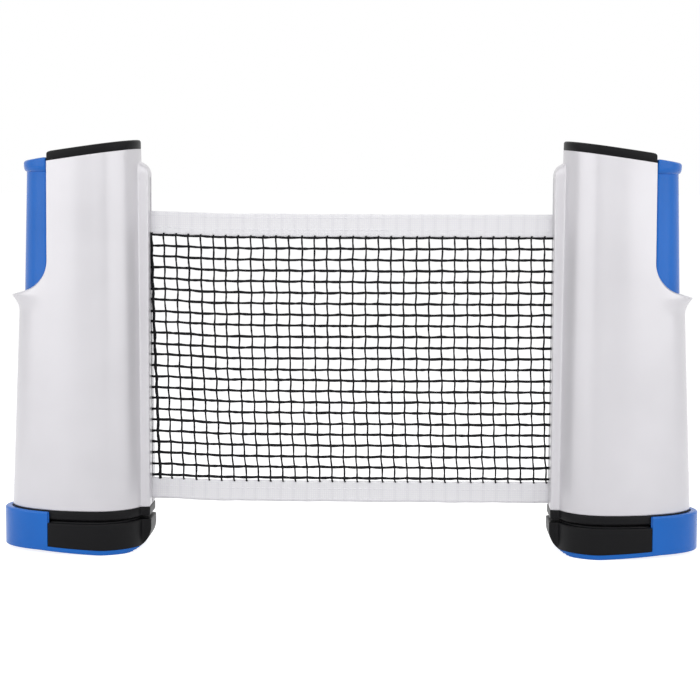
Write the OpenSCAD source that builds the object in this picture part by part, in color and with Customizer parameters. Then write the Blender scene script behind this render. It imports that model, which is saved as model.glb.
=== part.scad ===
// Retractable table tennis net: two clamp posts with the net rolled up between them.
// A post is drawn once, about its own upright axis, with +X toward the net, +Y to the
// back and +Z up. The left post stands at -post_x and the right one is its mirror image.

/* [Set] */
// Clear distance between the two noses
post_gap = 201.4; // [170:0.1:260]

/* [Table clamp] */
// Height of the net above the table top
net_height = 152.5; // [145:0.5:160]
// How far the lower jaw opens
clamp_travel = 50; // [40:1:54]
// Gap between the closed grips
jaw_gap = 1.2; // [0.8:0.1:3]
// Thickness of the shoe's floor
floor_t = 2.4; // [2.2:0.1:4]
// Height of the lower jaw block
block_h = 12.1; // [11:0.1:16]
// Thickness of the lower jaw block's walls
block_wall = 2.5; // [1.8:0.1:3.5]
// Thickness of each rubber grip
grip_t = 1.5; // [1:0.1:2]
// Margin between a grip and the edge of its jaw
grip_margin = 1.2; // [0.8:0.1:3]
// How far each grip stands out past the rim of its jaw
grip_stand = 0.2; // [0.1:0.1:0.5]
// Thickness of the upper jaw plate
jaw_t = 3.1; // [2.8:0.1:5]
// Height of the upper jaw's spigot inside the housing
spigot_h = 1.8; // [1.2:0.1:2]
// Radius of the bow under the lower jaw's nose
bow_r = 12; // [11:0.5:14]
// How far the shoe stands out past the housing at its outer end
shoe_reach = 3.9; // [3:0.1:6]
// How far the shoe and the block stand out past the housing's sides
shoe_side = 1.5; // [1.2:0.1:3]
// How far the shoe's rim stays below the foot of the housing
rim_drop = 0.5; // [0.2:0.1:1.5]
// Rise of the shoe's underside at its outer end
shoe_rise = 1.8; // [0.5:0.1:2]

/* [Housing] */
// Depth of the housing at its foot, front to back
body_depth = 54; // [50:1:60]
// Reach of the housing from the post axis toward the net
inner_reach = 24.2; // [23.6:0.1:26]
// Reach of the housing from the post axis to its outer end
outer_reach = 44.9; // [44.6:0.1:48]
// How much the outer end draws in from the foot to the cap
outer_draw = 7.8; // [5:0.1:8]
// Share of the foot's depth and inner reach that is left at the cap
top_share = 0.87; // [0.84:0.01:0.95]
// Wall of the two housing shells
wall = 2; // [1.8:0.1:2.2]
// Height of the cap's seat above the net, at the net side
head_room = 32; // [30:0.5:40]
// Slope of the cap, down toward the outer end
cap_slope = 8; // [4:0.5:10]
// Thickness of the cap
cap_t = 4.6; // [3.5:0.1:7]
// Rounding of the cap's top edge
cap_edge = 1.2; // [0.5:0.1:2]
// Depth of the cap's plug inside the housing
plug_h = 4; // [2:0.5:5]
// Distance from the post axis to the divider between roller and handle
divider_reach = 21.2; // [20.8:0.1:22.4]
// Thickness of the divider
divider_t = 2; // [1.6:0.1:2.4]

/* [Nose] */
// Reach of the nose from the post axis at its foot
nose_reach = 26.3; // [26:0.1:28]
// How much the nose's end draws in from its foot to its shoulder
nose_draw = 0.5; // [0.2:0.1:2]
// Depth of the nose at its foot
nose_depth = 22.4; // [21:0.1:25]
// Depth of the nose at its shoulder
nose_top_depth = 13.2; // [12.8:0.1:18]
// Rounding of the nose's upright corners
nose_corner = 1.3; // [0.8:0.1:2]
// Height of the sloping shoulder above the nose
shoulder_h = 6.5; // [4:0.5:10]
// Width of the slot that the net leaves through
slot_w = 3; // [2.4:0.1:3.6]

/* [Ledge] */
// How far the ledge flares out below the handle
ledge_flare = 4.5; // [2:0.1:5]
// Height over which the ledge flares
ledge_h = 9; // [6:0.5:14]
// Radius of the curve from the window down to the ledge
window_r = 16.5; // [12:0.5:18]
// Slope of the ledge's top, which falls outward
ledge_slope = 15; // [0:1:25]
// Room between the lowered thumb flange and the ledge
ledge_spare = 10.5; // [8:0.1:16]

/* [Handle] */
// Gap between the handle and the housing around it
handle_gap = 0.5; // [0.4:0.1:1]
// Wall of the handle
handle_wall = 2; // [1.6:0.1:2.4]
// Length of handle that stays inside the housing below the ledge
handle_guide = 24; // [16:1:30]
// Height of the handle's top above the cap's seat
handle_rise = 2; // [0.5:0.1:4]
// Height of the thumb flange
flange_h = 6.5; // [5:0.5:9]
// How far the thumb flange stands out
flange_reach = 1.5; // [1:0.1:2]
// How much the handle draws in from the ledge to its thumb flange
handle_draw = 1.6; // [0.4:0.1:2]
// Width of the slide bar
bar_w = 16; // [12:0.5:18]
// Thickness of the slide bar
bar_t = 2.4; // [2:0.1:2.6]
// Gap between the slide bar and the divider
bar_gap = 0.4; // [0.3:0.1:0.6]
// Height of the slide bar's foot
bar_foot_h = 6.6; // [6:0.1:8]

/* [Clamp spring] */
// Outer diameter of the spring
spring_d = 8; // [7.6:0.1:8.2]
// Diameter of its wire
spring_wire = 0.9; // [0.8:0.1:1.1]
// Number of turns
spring_turns = 16; // [12:1:20]
// Height of the closed spring's space when the jaw is fully open
spring_shut = 30; // [26:1:34]
// Diameter of the guide rod inside the spring
rod_d = 3.4; // [3:0.1:4]
// Diameter of the guide rod's foot
rod_foot_d = 7; // [6.4:0.1:7.4]
// Thickness of the lug that the spring lifts
lug_t = 4; // [3:0.5:6]
// Width of the lug
lug_w = 8; // [7:0.5:9]

/* [Roller] */
// Distance from the post axis to the roller axis, away from the net
roller_back = 2; // [1.5:0.1:2.5]
// Outer diameter of the roller tube
tube_d = 16; // [15:0.5:18]
// Bore of the roller tube
tube_bore = 12; // [11.4:0.1:13]
// Diameter of the fixed shaft
shaft_d = 5; // [4:0.5:5.5]
// Outer diameter of the net wound on the tube
roll_d = 34; // [30:0.5:34.5]
// Length of each bush in the tube
bush_h = 6; // [4:0.5:10]
// Radial running clearance of the bushes on the shaft
bush_fit = 0.05; // [0.02:0.01:0.08]
// Thickness of the top bearing plate
bearing_t = 3; // [2:0.5:4]
// Thickness of the shelf under the bearing plate
shelf_t = 2; // [1.5:0.1:3]
// Width of the shelf under the bearing plate
shelf_w = 6; // [5.5:0.1:7]
// Diameter of the batten that holds the net's end on the tube
batten_d = 2.6; // [2:0.1:3]
// Wire of the retracting spring
retract_wire = 0.8; // [0.6:0.1:1]
// Outer diameter of the retracting spring
retract_d = 10.4; // [9:0.1:10.8]
// Number of turns in the retracting spring
retract_turns = 12; // [8:1:14]

/* [Net] */
// Width of the net with its two tapes
net_width = 145.3; // [138:0.1:145.4]
// Width of each tape
tape_w = 12; // [8:0.5:15]
// Thickness of each tape
tape_t = 1.2; // [0.8:0.1:1.4]
// Thickness of the mesh threads
thread = 0.9; // [0.6:0.1:1]
// Rows of mesh
mesh_rows = 15; // [8:1:15]
// Columns of mesh between the posts
mesh_columns = 19; // [10:1:20]

/* [Screws] */
// Diameter of the screws
screw_d = 2.9; // [2.5:0.1:3.2]
// Diameter of the screw heads
head_d = 5.6; // [5:0.1:5.8]
// Height of the screw heads
head_h = 1.3; // [1.1:0.1:1.4]
// Depth of the shoe's screw heads below its underside
head_sink = 0.3; // [0.2:0.1:0.5]
// Diameter of the screw bosses
boss_d = 7; // [6.8:0.1:7.4]
// Length of the housing screws
long_screw = 18; // [14:1:22]
// Length of the jaw screws
short_screw = 9; // [8:0.5:11]

/* [Hidden] */

$fn = 48;
// Points round the housing's outline, and points round half a handle
facets = 48;
handle_facets = 16;
corner_facets = 4;
// Levels that shape the flare of the ledge
flare_levels = 4;
shoulder_levels = 5;
bead_levels = 4;
// Overshoot of cuts past the face that they open
over = 1;
// Clearance of parts that seat in one another, and of parts that pass each other
fit = 0.2;
pass = 0.4;
screw_fit = 0.1;
slide_fit = 0.3;
big = 400;
// Material left under a blind hole, and overlap of a boss with the wall that it grows from
blind_floor = 1.2;
boss_merge = 0.6;
// Length of the solid noses that close in front of the grips
nose_block = 5.4;
// Distance from the cap's seat down to the top of the nose's shoulder, and its lean at the sides
shoulder_below = 6.6;
shoulder_lean = 2;
// Length of the mesh room behind the slot, and the room on each side of a tape
passage_depth = 12;
tape_room = 0.5;
// How far the roller stands above the net
roller_over = 1.3;
// Material past the end of a jaw screw, and depth of the seats of the screws at the head
boss_spare = 3;
head_seat_y = 10;
// How much further the lower nose reaches than the upper one, and how much slimmer it is
lower_nose_step = 0.5;
// How far the shoe laps in past the window's plane before the jaw block starts
shoe_lap = 0.2;
// How far the bar's screw lies behind the guide rod
bar_foot_back = 2;
// Where the underside of the shoe starts to rise, and the length over which it does
rise_start = 4;
rise_run = 32;
// Width and depth of the cross in a screw's head, and its span as a share of the head
cross_w = 0.8;
cross_share = 2 / 3;
// Distances along the clamp's slide: below the handle, above the lug, and under the roof
spring_below = 12;
rod_above = 4;
roof_above = 2;
handle_screw_up = 4;
handle_screw_l = 6;

// Heights, from the foot of the shoe up
block_top = floor_t + block_h;
lower_grip_z = block_top + grip_t;
table_z = lower_grip_z + jaw_gap;
jaw_z = table_z + grip_t;
base_z = jaw_z + jaw_t;
rim_z = base_z - rim_drop;
spigot_z = base_z + spigot_h;
net_top = table_z + net_height;
net_foot = net_top - net_width;
cap_z = net_top + head_room;
roller_foot = net_foot - fit;
roller_top = net_top + roller_over;
shelf_z = roller_top + pass;
bearing_z = shelf_z + shelf_t;
boss_z = bearing_z + bearing_t + boss_d;

// Places across the post
post_x = post_gap / 2 + nose_reach;
divider_x = -divider_reach;
window_x = divider_x - divider_t;
bar_x = window_x - bar_gap;
handle_x = bar_x;
rod_x = bar_x - bar_t - fit - spring_d / 2;
roller_x = -roller_back;
boss_r = boss_d / 2;
cap_inner = inner_reach * top_share;
grip_end = nose_reach - nose_block;
block_x = window_x + shoe_lap;

// Heights that follow the cap's slope
function cap_seat(x) = cap_z - (cap_inner - x) * tan(cap_slope);
handle_top = cap_seat(-outer_reach + outer_draw) + handle_rise;
flange_z = handle_top - flange_h;
ledge_z = flange_z - clamp_travel - ledge_spare;
handle_foot = ledge_z - handle_guide;
seat_z = handle_foot - clamp_travel - spring_below;
lug_z = seat_z + spring_shut + clamp_travel;
rod_top = lug_z + lug_t + rod_above;
handle_roof = rod_top + clamp_travel + roof_above;
handle_screw_z = handle_roof + handle_screw_up;
bar_top = handle_screw_z + handle_screw_up;

// The housing's outline shrinks evenly from its foot to the cap and flares at the ledge
function share(z) = (z - base_z) / (cap_z - base_z);
function taper(z) = 1 - (1 - top_share) * share(z);
function flare(z) = ledge_flare * (z < ledge_z
    ? pow(max(0, 1 - (ledge_z - z) / ledge_h), 2)
    : max(0, 1 - (z - ledge_z) / ledge_h));
function half_depth(z) = body_depth / 2 * taper(z);
function reach_out(z) = outer_reach - outer_draw * share(z);
function reach_in(z) = inner_reach * taper(z);

// Points of an oval with a short half toward the net and a long half away from it
function oval(inner, outer, half) = [
    for (i = [0 : facets - 1])
        let (a = 360 * i / facets) [cos(a) * (cos(a) > 0 ? inner : outer), sin(a) * half]
];
function flared(points, amount, outer) = [
    for (p = points) [p[0] - (p[0] < 0 ? amount * pow(-p[0] / outer, 4) : 0), p[1]]
];
function outline(z, inset) = flared(
    oval(reach_in(z) - inset, reach_out(z) - inset, half_depth(z) - inset),
    flare(z), reach_out(z) - inset);
function shoe_outline(inset) = oval(
    inner_reach - inset, outer_reach + shoe_reach - inset, body_depth / 2 + shoe_side - inset);
// Half depth of the housing's cavity at a distance x from the post axis
function cavity_y(x) =
    (body_depth / 2 - wall) * sqrt(1 - pow(x / ((x > 0 ? inner_reach : outer_reach) - wall), 2));

// Points of the nose, a block with two rounded upright corners
function corner(x, y, from) = [
    for (i = [0 : corner_facets])
        let (a = from + 90 * i / corner_facets) [x + nose_corner * cos(a), y + nose_corner * sin(a)]
];
function nose_outline(reach, half) = concat(
    [[0, half], [0, -half]],
    corner(reach - nose_corner, nose_corner - half, -90),
    corner(reach - nose_corner, half - nose_corner, 0));

// Points of the handle, the outer end of an oval cut flat toward the net
handle_reach = reach_out(ledge_z) - wall - handle_gap;
handle_half = half_depth(ledge_z) - wall - handle_gap;
function handle_outline(inset, flat) =
    let (a = handle_reach - inset, b = handle_half - inset, open = acos(-flat / a)) [
        for (i = [-handle_facets : handle_facets])
            let (t = 180 + open * i / handle_facets) [a * cos(t), b * sin(t)]
    ];

// A closed skin through rings of equally many points, given from the lowest up
function ring(points, z) = [for (p = points) [p[0], p[1], z]];
module skin(rings) {
    count = len(rings[0]);
    last = len(rings) - 1;
    sides = [
        for (k = [0 : last - 1])
            for (i = [0 : count - 1])
                let (a = k * count + i, b = k * count + (i + 1) % count)
                    each [[a, a + count, b + count], [a, b + count, b]]
    ];
    floor_face = [for (i = [0 : count - 1]) i];
    roof_face = [for (i = [count - 1 : -1 : 0]) last * count + i];
    polyhedron([for (r = rings) each r], concat([floor_face, roof_face], sides));
}
module prism(points, from, to) {
    translate([0, 0, from]) linear_extrude(to - from) polygon(points);
}

// Puts a post's part at the left or the right end of the net
module left_post() {
    translate([-post_x, 0, 0]) children();
}
module right_post() {
    translate([post_x, 0, 0]) mirror([1, 0, 0]) children();
}
module front_half() {
    difference() {
        children();
        translate([-big / 2, 0, -over]) cube([big, big, big]);
    }
}
module back_half() {
    difference() {
        children();
        translate([-big / 2, -big, -over]) cube([big, big, big]);
    }
}
// Everything above the cap's seat, raised by some height
module above_seat(raise) {
    translate([cap_inner, -big / 2, cap_z + raise]) rotate([0, -cap_slope, 0])
        translate([-big / 2, 0, 0]) cube([big, big, big / 2]);
}
// Everything on the net side of a place
module net_side(x) {
    translate([x, -big / 2, -over]) cube([big, big, big]);
}

// A screw along +Z from the seat of its head, with a cross recess in the head
module screw(length) {
    span = head_d * cross_share;
    difference() {
        union() {
            translate([0, 0, -head_h]) cylinder(h = head_h, d = head_d);
            cylinder(h = length, d = screw_d);
        }
        translate([-span / 2, -cross_w / 2, -head_h - over]) cube([span, cross_w, cross_w + over]);
        translate([-cross_w / 2, -span / 2, -head_h - over]) cube([cross_w, span, cross_w + over]);
    }
}

// ---- Housing ----

housing_levels = concat(
    [base_z],
    [for (i = [0 : flare_levels]) ledge_z - ledge_h * (1 - i / flare_levels)],
    [ledge_z + ledge_h, cap_z + cap_t + over]);
cavity_levels = concat([base_z - over], [for (i = [1 : len(housing_levels) - 2]) housing_levels[i]],
    [cap_z + cap_t + 2 * over]);
module housing_body(inset, levels) {
    skin([for (z = levels) ring(outline(z, inset), z)]);
}
shoulder_z = cap_z - shoulder_h - shoulder_below;
// The nose, with a rounded shoulder at its head
module nose_body() {
    top = nose_reach - nose_draw;
    skin(concat([ring(nose_outline(nose_reach, nose_depth / 2), base_z)], [
        for (i = [0 : shoulder_levels])
            let (a = 90 * i / shoulder_levels, back = 1 - cos(a))
                ring(nose_outline(top - (top - cap_inner + over) * back,
                    nose_top_depth / 2 - shoulder_lean * back), shoulder_z + shoulder_h * sin(a))
    ]));
}
// Screw places: two across the head of the housing and four up into its foot
head_bosses = [-14, 8];
foot_bosses = [-10, 8];
module head_boss_places() {
    for (x = head_bosses) translate([x, 0, boss_z]) rotate([-90, 0, 0]) children();
}
module foot_boss_places() {
    for (x = foot_bosses, side = [-1, 1])
        translate([x, side * (cavity_y(x) - boss_r + boss_merge), base_z]) children();
}
foot_boss_h = short_screw + boss_spare;
module bosses() {
    head_boss_places() translate([0, 0, -big / 2]) cylinder(h = big, d = boss_d);
    foot_boss_places() translate([0, 0, -over]) cylinder(h = foot_boss_h + over, d = boss_d);
}
module boss_holes() {
    head_boss_places() {
        translate([0, 0, head_seat_y - long_screw - over])
            cylinder(h = long_screw + over, d = screw_d + screw_fit);
        translate([0, 0, head_seat_y]) cylinder(h = big, d = head_d + pass);
    }
    foot_boss_places() translate([0, 0, -over])
        cylinder(h = short_screw + over, d = screw_d + screw_fit);
}
module divider() {
    translate([window_x, -big / 2, 0]) cube([divider_t, big, big]);
}
module bearing_shelf() {
    difference() {
        translate([divider_x - over, -big / 2, shelf_z]) cube([big, big, shelf_t]);
        translate([0, 0, shelf_z - over]) linear_extrude(shelf_t + 2 * over)
            polygon(outline(shelf_z, wall + shelf_w));
    }
}
// The room that the net needs between the slot and the roll
bend_x = nose_reach - nose_draw - wall + tape_room;
module net_passage() {
    throat = tape_t / 2 + tape_room;
    depth = passage_depth;
    translate([0, 0, base_z - over]) linear_extrude(net_top - base_z + 2 * over)
        polygon([
            [bend_x, throat], [bend_x - depth, throat + depth * tan(tail_angle())],
            [bend_x - depth, -throat - depth * tan(tail_angle())], [bend_x, -throat]
        ]);
    translate([bend_x - over, -slot_w / 2, base_z - over])
        cube([nose_reach, slot_w, shoulder_z - base_z]);
}
// The window that bares the handle, with a rounded corner down to the sloping ledge
module window_cut() {
    curve_x = window_x - window_r;
    slope_x = curve_x + window_r * sin(ledge_slope);
    tip_x = -reach_out(ledge_z) - ledge_flare;
    slope_z = ledge_z + (slope_x - tip_x) * tan(ledge_slope);
    curve_z = slope_z + window_r * cos(ledge_slope);
    translate([0, big / 2, 0]) rotate([90, 0, 0]) linear_extrude(big) {
        translate([curve_x, curve_z]) circle(r = window_r, $fn = 96);
        polygon([
            [curve_x, curve_z], [slope_x, slope_z], [tip_x - big, ledge_z - big * tan(ledge_slope)],
            [tip_x - big, big], [window_x, big], [window_x, curve_z]
        ]);
    }
}
module housing() {
    difference() {
        union() {
            housing_body(0, housing_levels);
            nose_body();
        }
        difference() {
            housing_body(wall, cavity_levels);
            divider();
            bearing_shelf();
            bosses();
        }
        net_passage();
        window_cut();
        above_seat(0);
        boss_holes();
    }
}
module housing_front() {
    color("gainsboro") front_half() housing();
}
module housing_back() {
    color("gainsboro") back_half() housing();
}

// A slice of the housing above the cap's seat, grown inward by an inset
module cap_slice(inset, from, to) {
    difference() {
        intersection() {
            housing_body(inset, cavity_levels);
            above_seat(from);
            net_side(window_x + inset);
        }
        above_seat(to);
    }
}
module cap_plug(inset) {
    intersection() {
        housing_body(wall + inset, cavity_levels);
        net_side(divider_x + inset);
    }
}
module top_cap() {
    color("#1e1e21") {
        hull() {
            cap_slice(0, 0, cap_t - cap_edge);
            cap_slice(cap_edge, 0, cap_t);
        }
        difference() {
            intersection() {
                cap_plug(fit);
                above_seat(-plug_h);
            }
            cap_plug(fit + wall);
            above_seat(over / 2);
        }
    }
}

// ---- Upper jaw ----

module jaw_plan() {
    polygon(outline(base_z, 0));
    polygon(nose_outline(nose_reach, nose_depth / 2));
}
module bar_slot() {
    translate([bar_x - bar_t - pass, -bar_w / 2 - pass, 0]) cube([bar_t + 2 * pass, bar_w + 2 * pass, big]);
}
// The room of the upper grip, grown by a margin
module upper_grip_room(gap, to) {
    from = window_x + grip_margin - gap;
    intersection() {
        prism(outline(base_z, grip_margin - gap), table_z - gap, to);
        translate([from, -big / 2, 0]) cube([grip_end + gap - from, big, big]);
    }
}
module upper_jaw() {
    rim = table_z + grip_stand;
    color("#1e1e21") difference() {
        union() {
            translate([0, 0, jaw_z]) linear_extrude(jaw_t) jaw_plan();
            intersection() {
                translate([0, 0, rim]) linear_extrude(jaw_z - rim + over) jaw_plan();
                net_side(window_x);
            }
            intersection() {
                prism(outline(spigot_z, wall + fit), base_z, spigot_z);
                net_side(divider_x + fit);
            }
        }
        bar_slot();
        upper_grip_room(fit, jaw_z);
        translate([roller_x, 0, jaw_z + blind_floor]) cylinder(h = big, d = shaft_d);
        translate([rod_x, 0, jaw_z + blind_floor]) cylinder(h = big, d = rod_d);
        foot_boss_places() {
            cylinder(h = big, r = boss_r + fit);
            translate([0, 0, table_z - base_z]) cylinder(h = big, d = screw_d + pass);
            translate([0, 0, table_z - base_z]) cylinder(h = jaw_z - table_z + head_h, d = head_d + pass);
        }
    }
}
module upper_grip() {
    color("#29292d") upper_grip_room(0, jaw_z);
}
module upper_jaw_screws() {
    color("silver") foot_boss_places() translate([0, 0, head_h - jaw_t])
        screw(short_screw + jaw_t - head_h - over);
}
module housing_screws() {
    color("silver") head_boss_places() translate([0, 0, head_seat_y]) rotate([180, 0, 0]) screw(long_screw);
}

// ---- Lower jaw, shoe and handle, which slide as one ----

// Height of the shoe's underside, which rises toward the outer end
function underside(x) = shoe_rise * min(1, max(0, (rise_start - x) / rise_run));
// Everything above the underside, raised by some height
module above_underside(raise) {
    translate([0, big / 2, raise]) rotate([90, 0, 0]) linear_extrude(big) polygon([
        [-big, shoe_rise], [rise_start - rise_run, shoe_rise], [rise_start, 0], [big, 0], [big, big],
        [-big, big]
    ]);
}
// The side view of the lower jaw, with a bow under the nose
module jaw_profile() {
    tip = nose_reach + lower_nose_step;
    bow_x = tip - bow_r;
    translate([0, big / 2, 0]) rotate([90, 0, 0]) linear_extrude(big) {
        translate([bow_x, bow_r]) circle(r = bow_r);
        translate([-big, 0]) square([bow_x + big, big]);
        translate([bow_x - over, bow_r]) square([tip - bow_x + over, big]);
    }
}
module lower_nose_plan() {
    polygon(nose_outline(nose_reach + lower_nose_step, nose_depth / 2 - lower_nose_step));
}
module lower_plan() {
    polygon(shoe_outline(0));
    lower_nose_plan();
}
shoe_screw_x = [-14, 6];
bar_foot_x = rod_x - bar_foot_back;
bar_foot_z = floor_t + shoe_rise;
module shoe_screw_places() {
    for (x = concat(shoe_screw_x, [bar_foot_x])) translate([x, 0, underside(x)]) children();
}
module jaw_shoe() {
    color("#2468c8") difference() {
        intersection() {
            union() {
                linear_extrude(rim_z) difference() {
                    polygon(shoe_outline(0));
                    translate([block_x, -big / 2]) square([big, big]);
                }
                linear_extrude(block_top) lower_plan();
            }
            jaw_profile();
            above_underside(0);
        }
        intersection() {
            above_underside(floor_t);
            linear_extrude(big) {
                polygon(outline(base_z, -pass));
                translate([block_x, -big / 2]) square([big, big]);
            }
        }
        shoe_screw_places() translate([0, 0, -floor_t]) {
            cylinder(h = 3 * floor_t, d = screw_d + pass);
            cylinder(h = floor_t + head_sink + head_h, d = head_d + pass);
        }
    }
}
// The room of the lower grip, grown by a margin
module lower_grip_room(gap, to) {
    from = block_x + grip_margin - gap;
    intersection() {
        prism(shoe_outline(grip_margin + shoe_side - gap), block_top, to);
        translate([from, -big / 2, 0]) cube([grip_end + gap - from, big, big]);
    }
}
module jaw_block() {
    color("#1e1e21") difference() {
        intersection() {
            linear_extrude(lower_grip_z - grip_stand) lower_plan();
            net_side(block_x);
            jaw_profile();
            above_underside(floor_t);
        }
        lower_grip_room(fit, lower_grip_z);
        difference() {
            intersection() {
                prism(shoe_outline(block_wall), 0, block_top - block_wall);
                net_side(block_x + block_wall);
                translate([-big, -big / 2, 0]) cube([big + nose_reach - bow_r, big, big]);
            }
            for (x = shoe_screw_x) translate([x, 0, 0]) cylinder(h = big, d = boss_d);
            translate([(shoe_screw_x[0] + shoe_screw_x[1] - block_wall) / 2, -big / 2, 0])
                cube([block_wall, big, big]);
        }
        for (x = shoe_screw_x)
            translate([x, 0, underside(x)]) cylinder(h = head_h + short_screw, d = screw_d + screw_fit);
    }
}
module lower_grip() {
    color("#29292d") lower_grip_room(0, lower_grip_z);
}
module lower_jaw_screws() {
    color("silver") shoe_screw_places() translate([0, 0, head_sink + head_h]) screw(short_screw - over);
}
module slide_bar() {
    foot_w = 2 * (bar_x - bar_foot_x);
    color("#9a9da3") difference() {
        union() {
            translate([bar_x - bar_t, -bar_w / 2, bar_foot_z]) cube([bar_t, bar_w, bar_top - bar_foot_z]);
            translate([bar_x - foot_w, -bar_w / 2, bar_foot_z]) cube([foot_w, bar_w, bar_foot_h]);
            translate([rod_x - lug_w / 2, -lug_w / 2, lug_z]) cube([bar_x - rod_x + lug_w / 2, lug_w, lug_t]);
        }
        translate([rod_x, 0, lug_z - over]) cylinder(h = lug_t + 2 * over, d = rod_d + 2 * slide_fit);
        translate([bar_foot_x, 0, 0])
            cylinder(h = shoe_rise + head_h + short_screw, d = screw_d + screw_fit);
        translate([bar_x + over, 0, handle_screw_z]) rotate([0, -90, 0]) {
            cylinder(h = bar_t + 2 * over, d = screw_d + pass);
            cylinder(h = head_h + over, d = head_d + pass);
        }
    }
}
module handle_screw() {
    color("silver") translate([bar_x - head_h, 0, handle_screw_z]) rotate([0, -90, 0]) screw(handle_screw_l);
}
module squeeze_handle() {
    grip = handle_outline(0, handle_x);
    neck = handle_outline(handle_draw, handle_x);
    flange = handle_outline(handle_draw - flange_reach, handle_x);
    room = handle_outline(handle_wall, handle_x + over);
    // The flange is a bead: its underside is a quarter round
    bead_z = handle_top - flange_h / 3;
    bead = [
        for (i = [1 : bead_levels])
            let (a = 90 * i / bead_levels)
                ring(handle_outline(handle_draw - flange_reach * sin(a), handle_x),
                    bead_z - flange_h / 2 * cos(a))
    ];
    color("#2a6fd0") difference() {
        skin(concat(
            [ring(grip, handle_foot), ring(grip, ledge_z), ring(neck, bead_z - flange_h / 2)],
            bead, [ring(flange, cap_z + over)]));
        above_seat(handle_rise);
        skin([
            ring(room, handle_foot - over), ring(room, ledge_z),
            ring(handle_outline(handle_wall + handle_draw, handle_x + over), handle_roof)
        ]);
        translate([bar_x - bar_t, -bar_w / 2, handle_roof - over])
            cube([bar_t + over, bar_w, bar_top - handle_roof + over]);
        translate([bar_x, 0, handle_screw_z]) rotate([0, -90, 0])
            cylinder(h = head_h + handle_screw_l + screw_fit, d = screw_d + screw_fit);
    }
}

// ---- Clamp spring and its guide ----

// An open coil along +Z: rings of wire points swept round a helix
wire_sides = 6;
turn_rings = 8;
function coil_point(radius, pitch, i) =
    [radius * cos(360 * i / turn_rings), radius * sin(360 * i / turn_rings), pitch * i / turn_rings];
module coil(outer_d, wire, turns, length) {
    radius = (outer_d - wire) / 2;
    pitch = (length - wire) / turns;
    centres = [for (i = [0 : turns * turn_rings]) coil_point(radius, pitch, i)];
    echo(least_coil_gap = min([
        for (i = [0 : len(centres) - 1 - turn_rings]) norm(centres[i + turn_rings] - centres[i])
    ]) - wire);
    rings = [
        for (i = [0 : len(centres) - 1])
            let (a = 360 * i / turn_rings)
                [for (k = [0 : wire_sides - 1])
                    let (b = 360 * k / wire_sides, r = radius + wire / 2 * cos(b))
                        [r * cos(a), r * sin(a), centres[i][2] + wire / 2 * sin(b)]]
    ];
    count = wire_sides;
    last = len(rings) - 1;
    sides = [
        for (k = [0 : last - 1])
            for (i = [0 : count - 1])
                let (a = k * count + i, b = k * count + (i + 1) % count)
                    each [[a, b + count, a + count], [a, b, b + count]]
    ];
    start_face = [for (i = [count - 1 : -1 : 0]) i];
    end_face = [for (i = [0 : count - 1]) last * count + i];
    polyhedron([for (r = rings) each r], concat([start_face, end_face], sides));
}
module clamp_spring() {
    color("#b8bcc2") translate([rod_x, 0, seat_z + spring_wire / 2])
        coil(spring_d, spring_wire, spring_turns, lug_z - seat_z);
}
module spring_guide_rod() {
    color("#8f939a") translate([rod_x, 0, 0]) {
        translate([0, 0, jaw_z + blind_floor]) cylinder(h = rod_top - jaw_z - blind_floor, d = rod_d);
        translate([0, 0, base_z]) cylinder(h = seat_z - base_z, d = rod_foot_d);
    }
}

// ---- Roller ----

module top_bearing_plate() {
    color("#c9c9c4") difference() {
        intersection() {
            prism(outline(bearing_z + bearing_t, wall + fit), bearing_z, bearing_z + bearing_t);
            net_side(divider_x + fit);
        }
        translate([roller_x, 0, 0]) cylinder(h = big, d = shaft_d);
    }
}
module roller_shaft() {
    foot = jaw_z + blind_floor;
    color("#8f939a") translate([roller_x, 0, foot])
        cylinder(h = bearing_z + bearing_t + over - foot, d = shaft_d);
}
module roller_tube() {
    color("#b9bdc3") translate([roller_x, 0, roller_foot]) difference() {
        cylinder(h = roller_top - roller_foot, d = tube_d);
        translate([0, 0, -over]) cylinder(h = roller_top - roller_foot + 2 * over, d = tube_bore);
    }
}
module bush() {
    difference() {
        cylinder(h = bush_h, d = tube_bore);
        translate([0, 0, -over]) cylinder(h = bush_h + 2 * over, r = shaft_d / 2 + bush_fit);
    }
}
module roller_bushes() {
    color("ivory") translate([roller_x, 0, 0]) {
        translate([0, 0, roller_foot]) bush();
        translate([0, 0, roller_top - bush_h]) bush();
    }
}
retract_z = roller_foot + bush_h + pass;
retract_h = roller_top - roller_foot - 2 * (bush_h + pass);
module retract_spring() {
    color("#b8bcc2") translate([roller_x, 0, retract_z + retract_wire / 2])
        coil(retract_d, retract_wire, retract_turns, retract_h);
}
batten_x = roller_x - tube_d / 2 - batten_d / 2 - screw_fit;
module batten_room(gap) {
    translate([batten_x, 0, net_foot - over]) cylinder(h = net_width + 2 * over, r = batten_d / 2 + gap);
}
module net_roll() {
    color("#55565a") difference() {
        translate([roller_x, 0, net_foot]) cylinder(h = net_width, d = roll_d);
        translate([roller_x, 0, net_foot - over]) cylinder(h = net_width + 2 * over, d = tube_d);
        batten_room(slide_fit);
    }
}
module net_batten() {
    color("#d8d8d4") translate([batten_x, 0, net_foot]) cylinder(h = net_width, d = batten_d);
}

// ---- Net ----

// The net runs flat between the slots, then slants to the back of each roll
tail_gap = 0.3;
tail_r = roll_d / 2 + tape_t / 2 + tail_gap;
function tail_angle() = 90 - acos(tail_r / (bend_x - roller_x));
tail_end = [roller_x + tail_r * sin(tail_angle()), tail_r * cos(tail_angle())];
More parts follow.
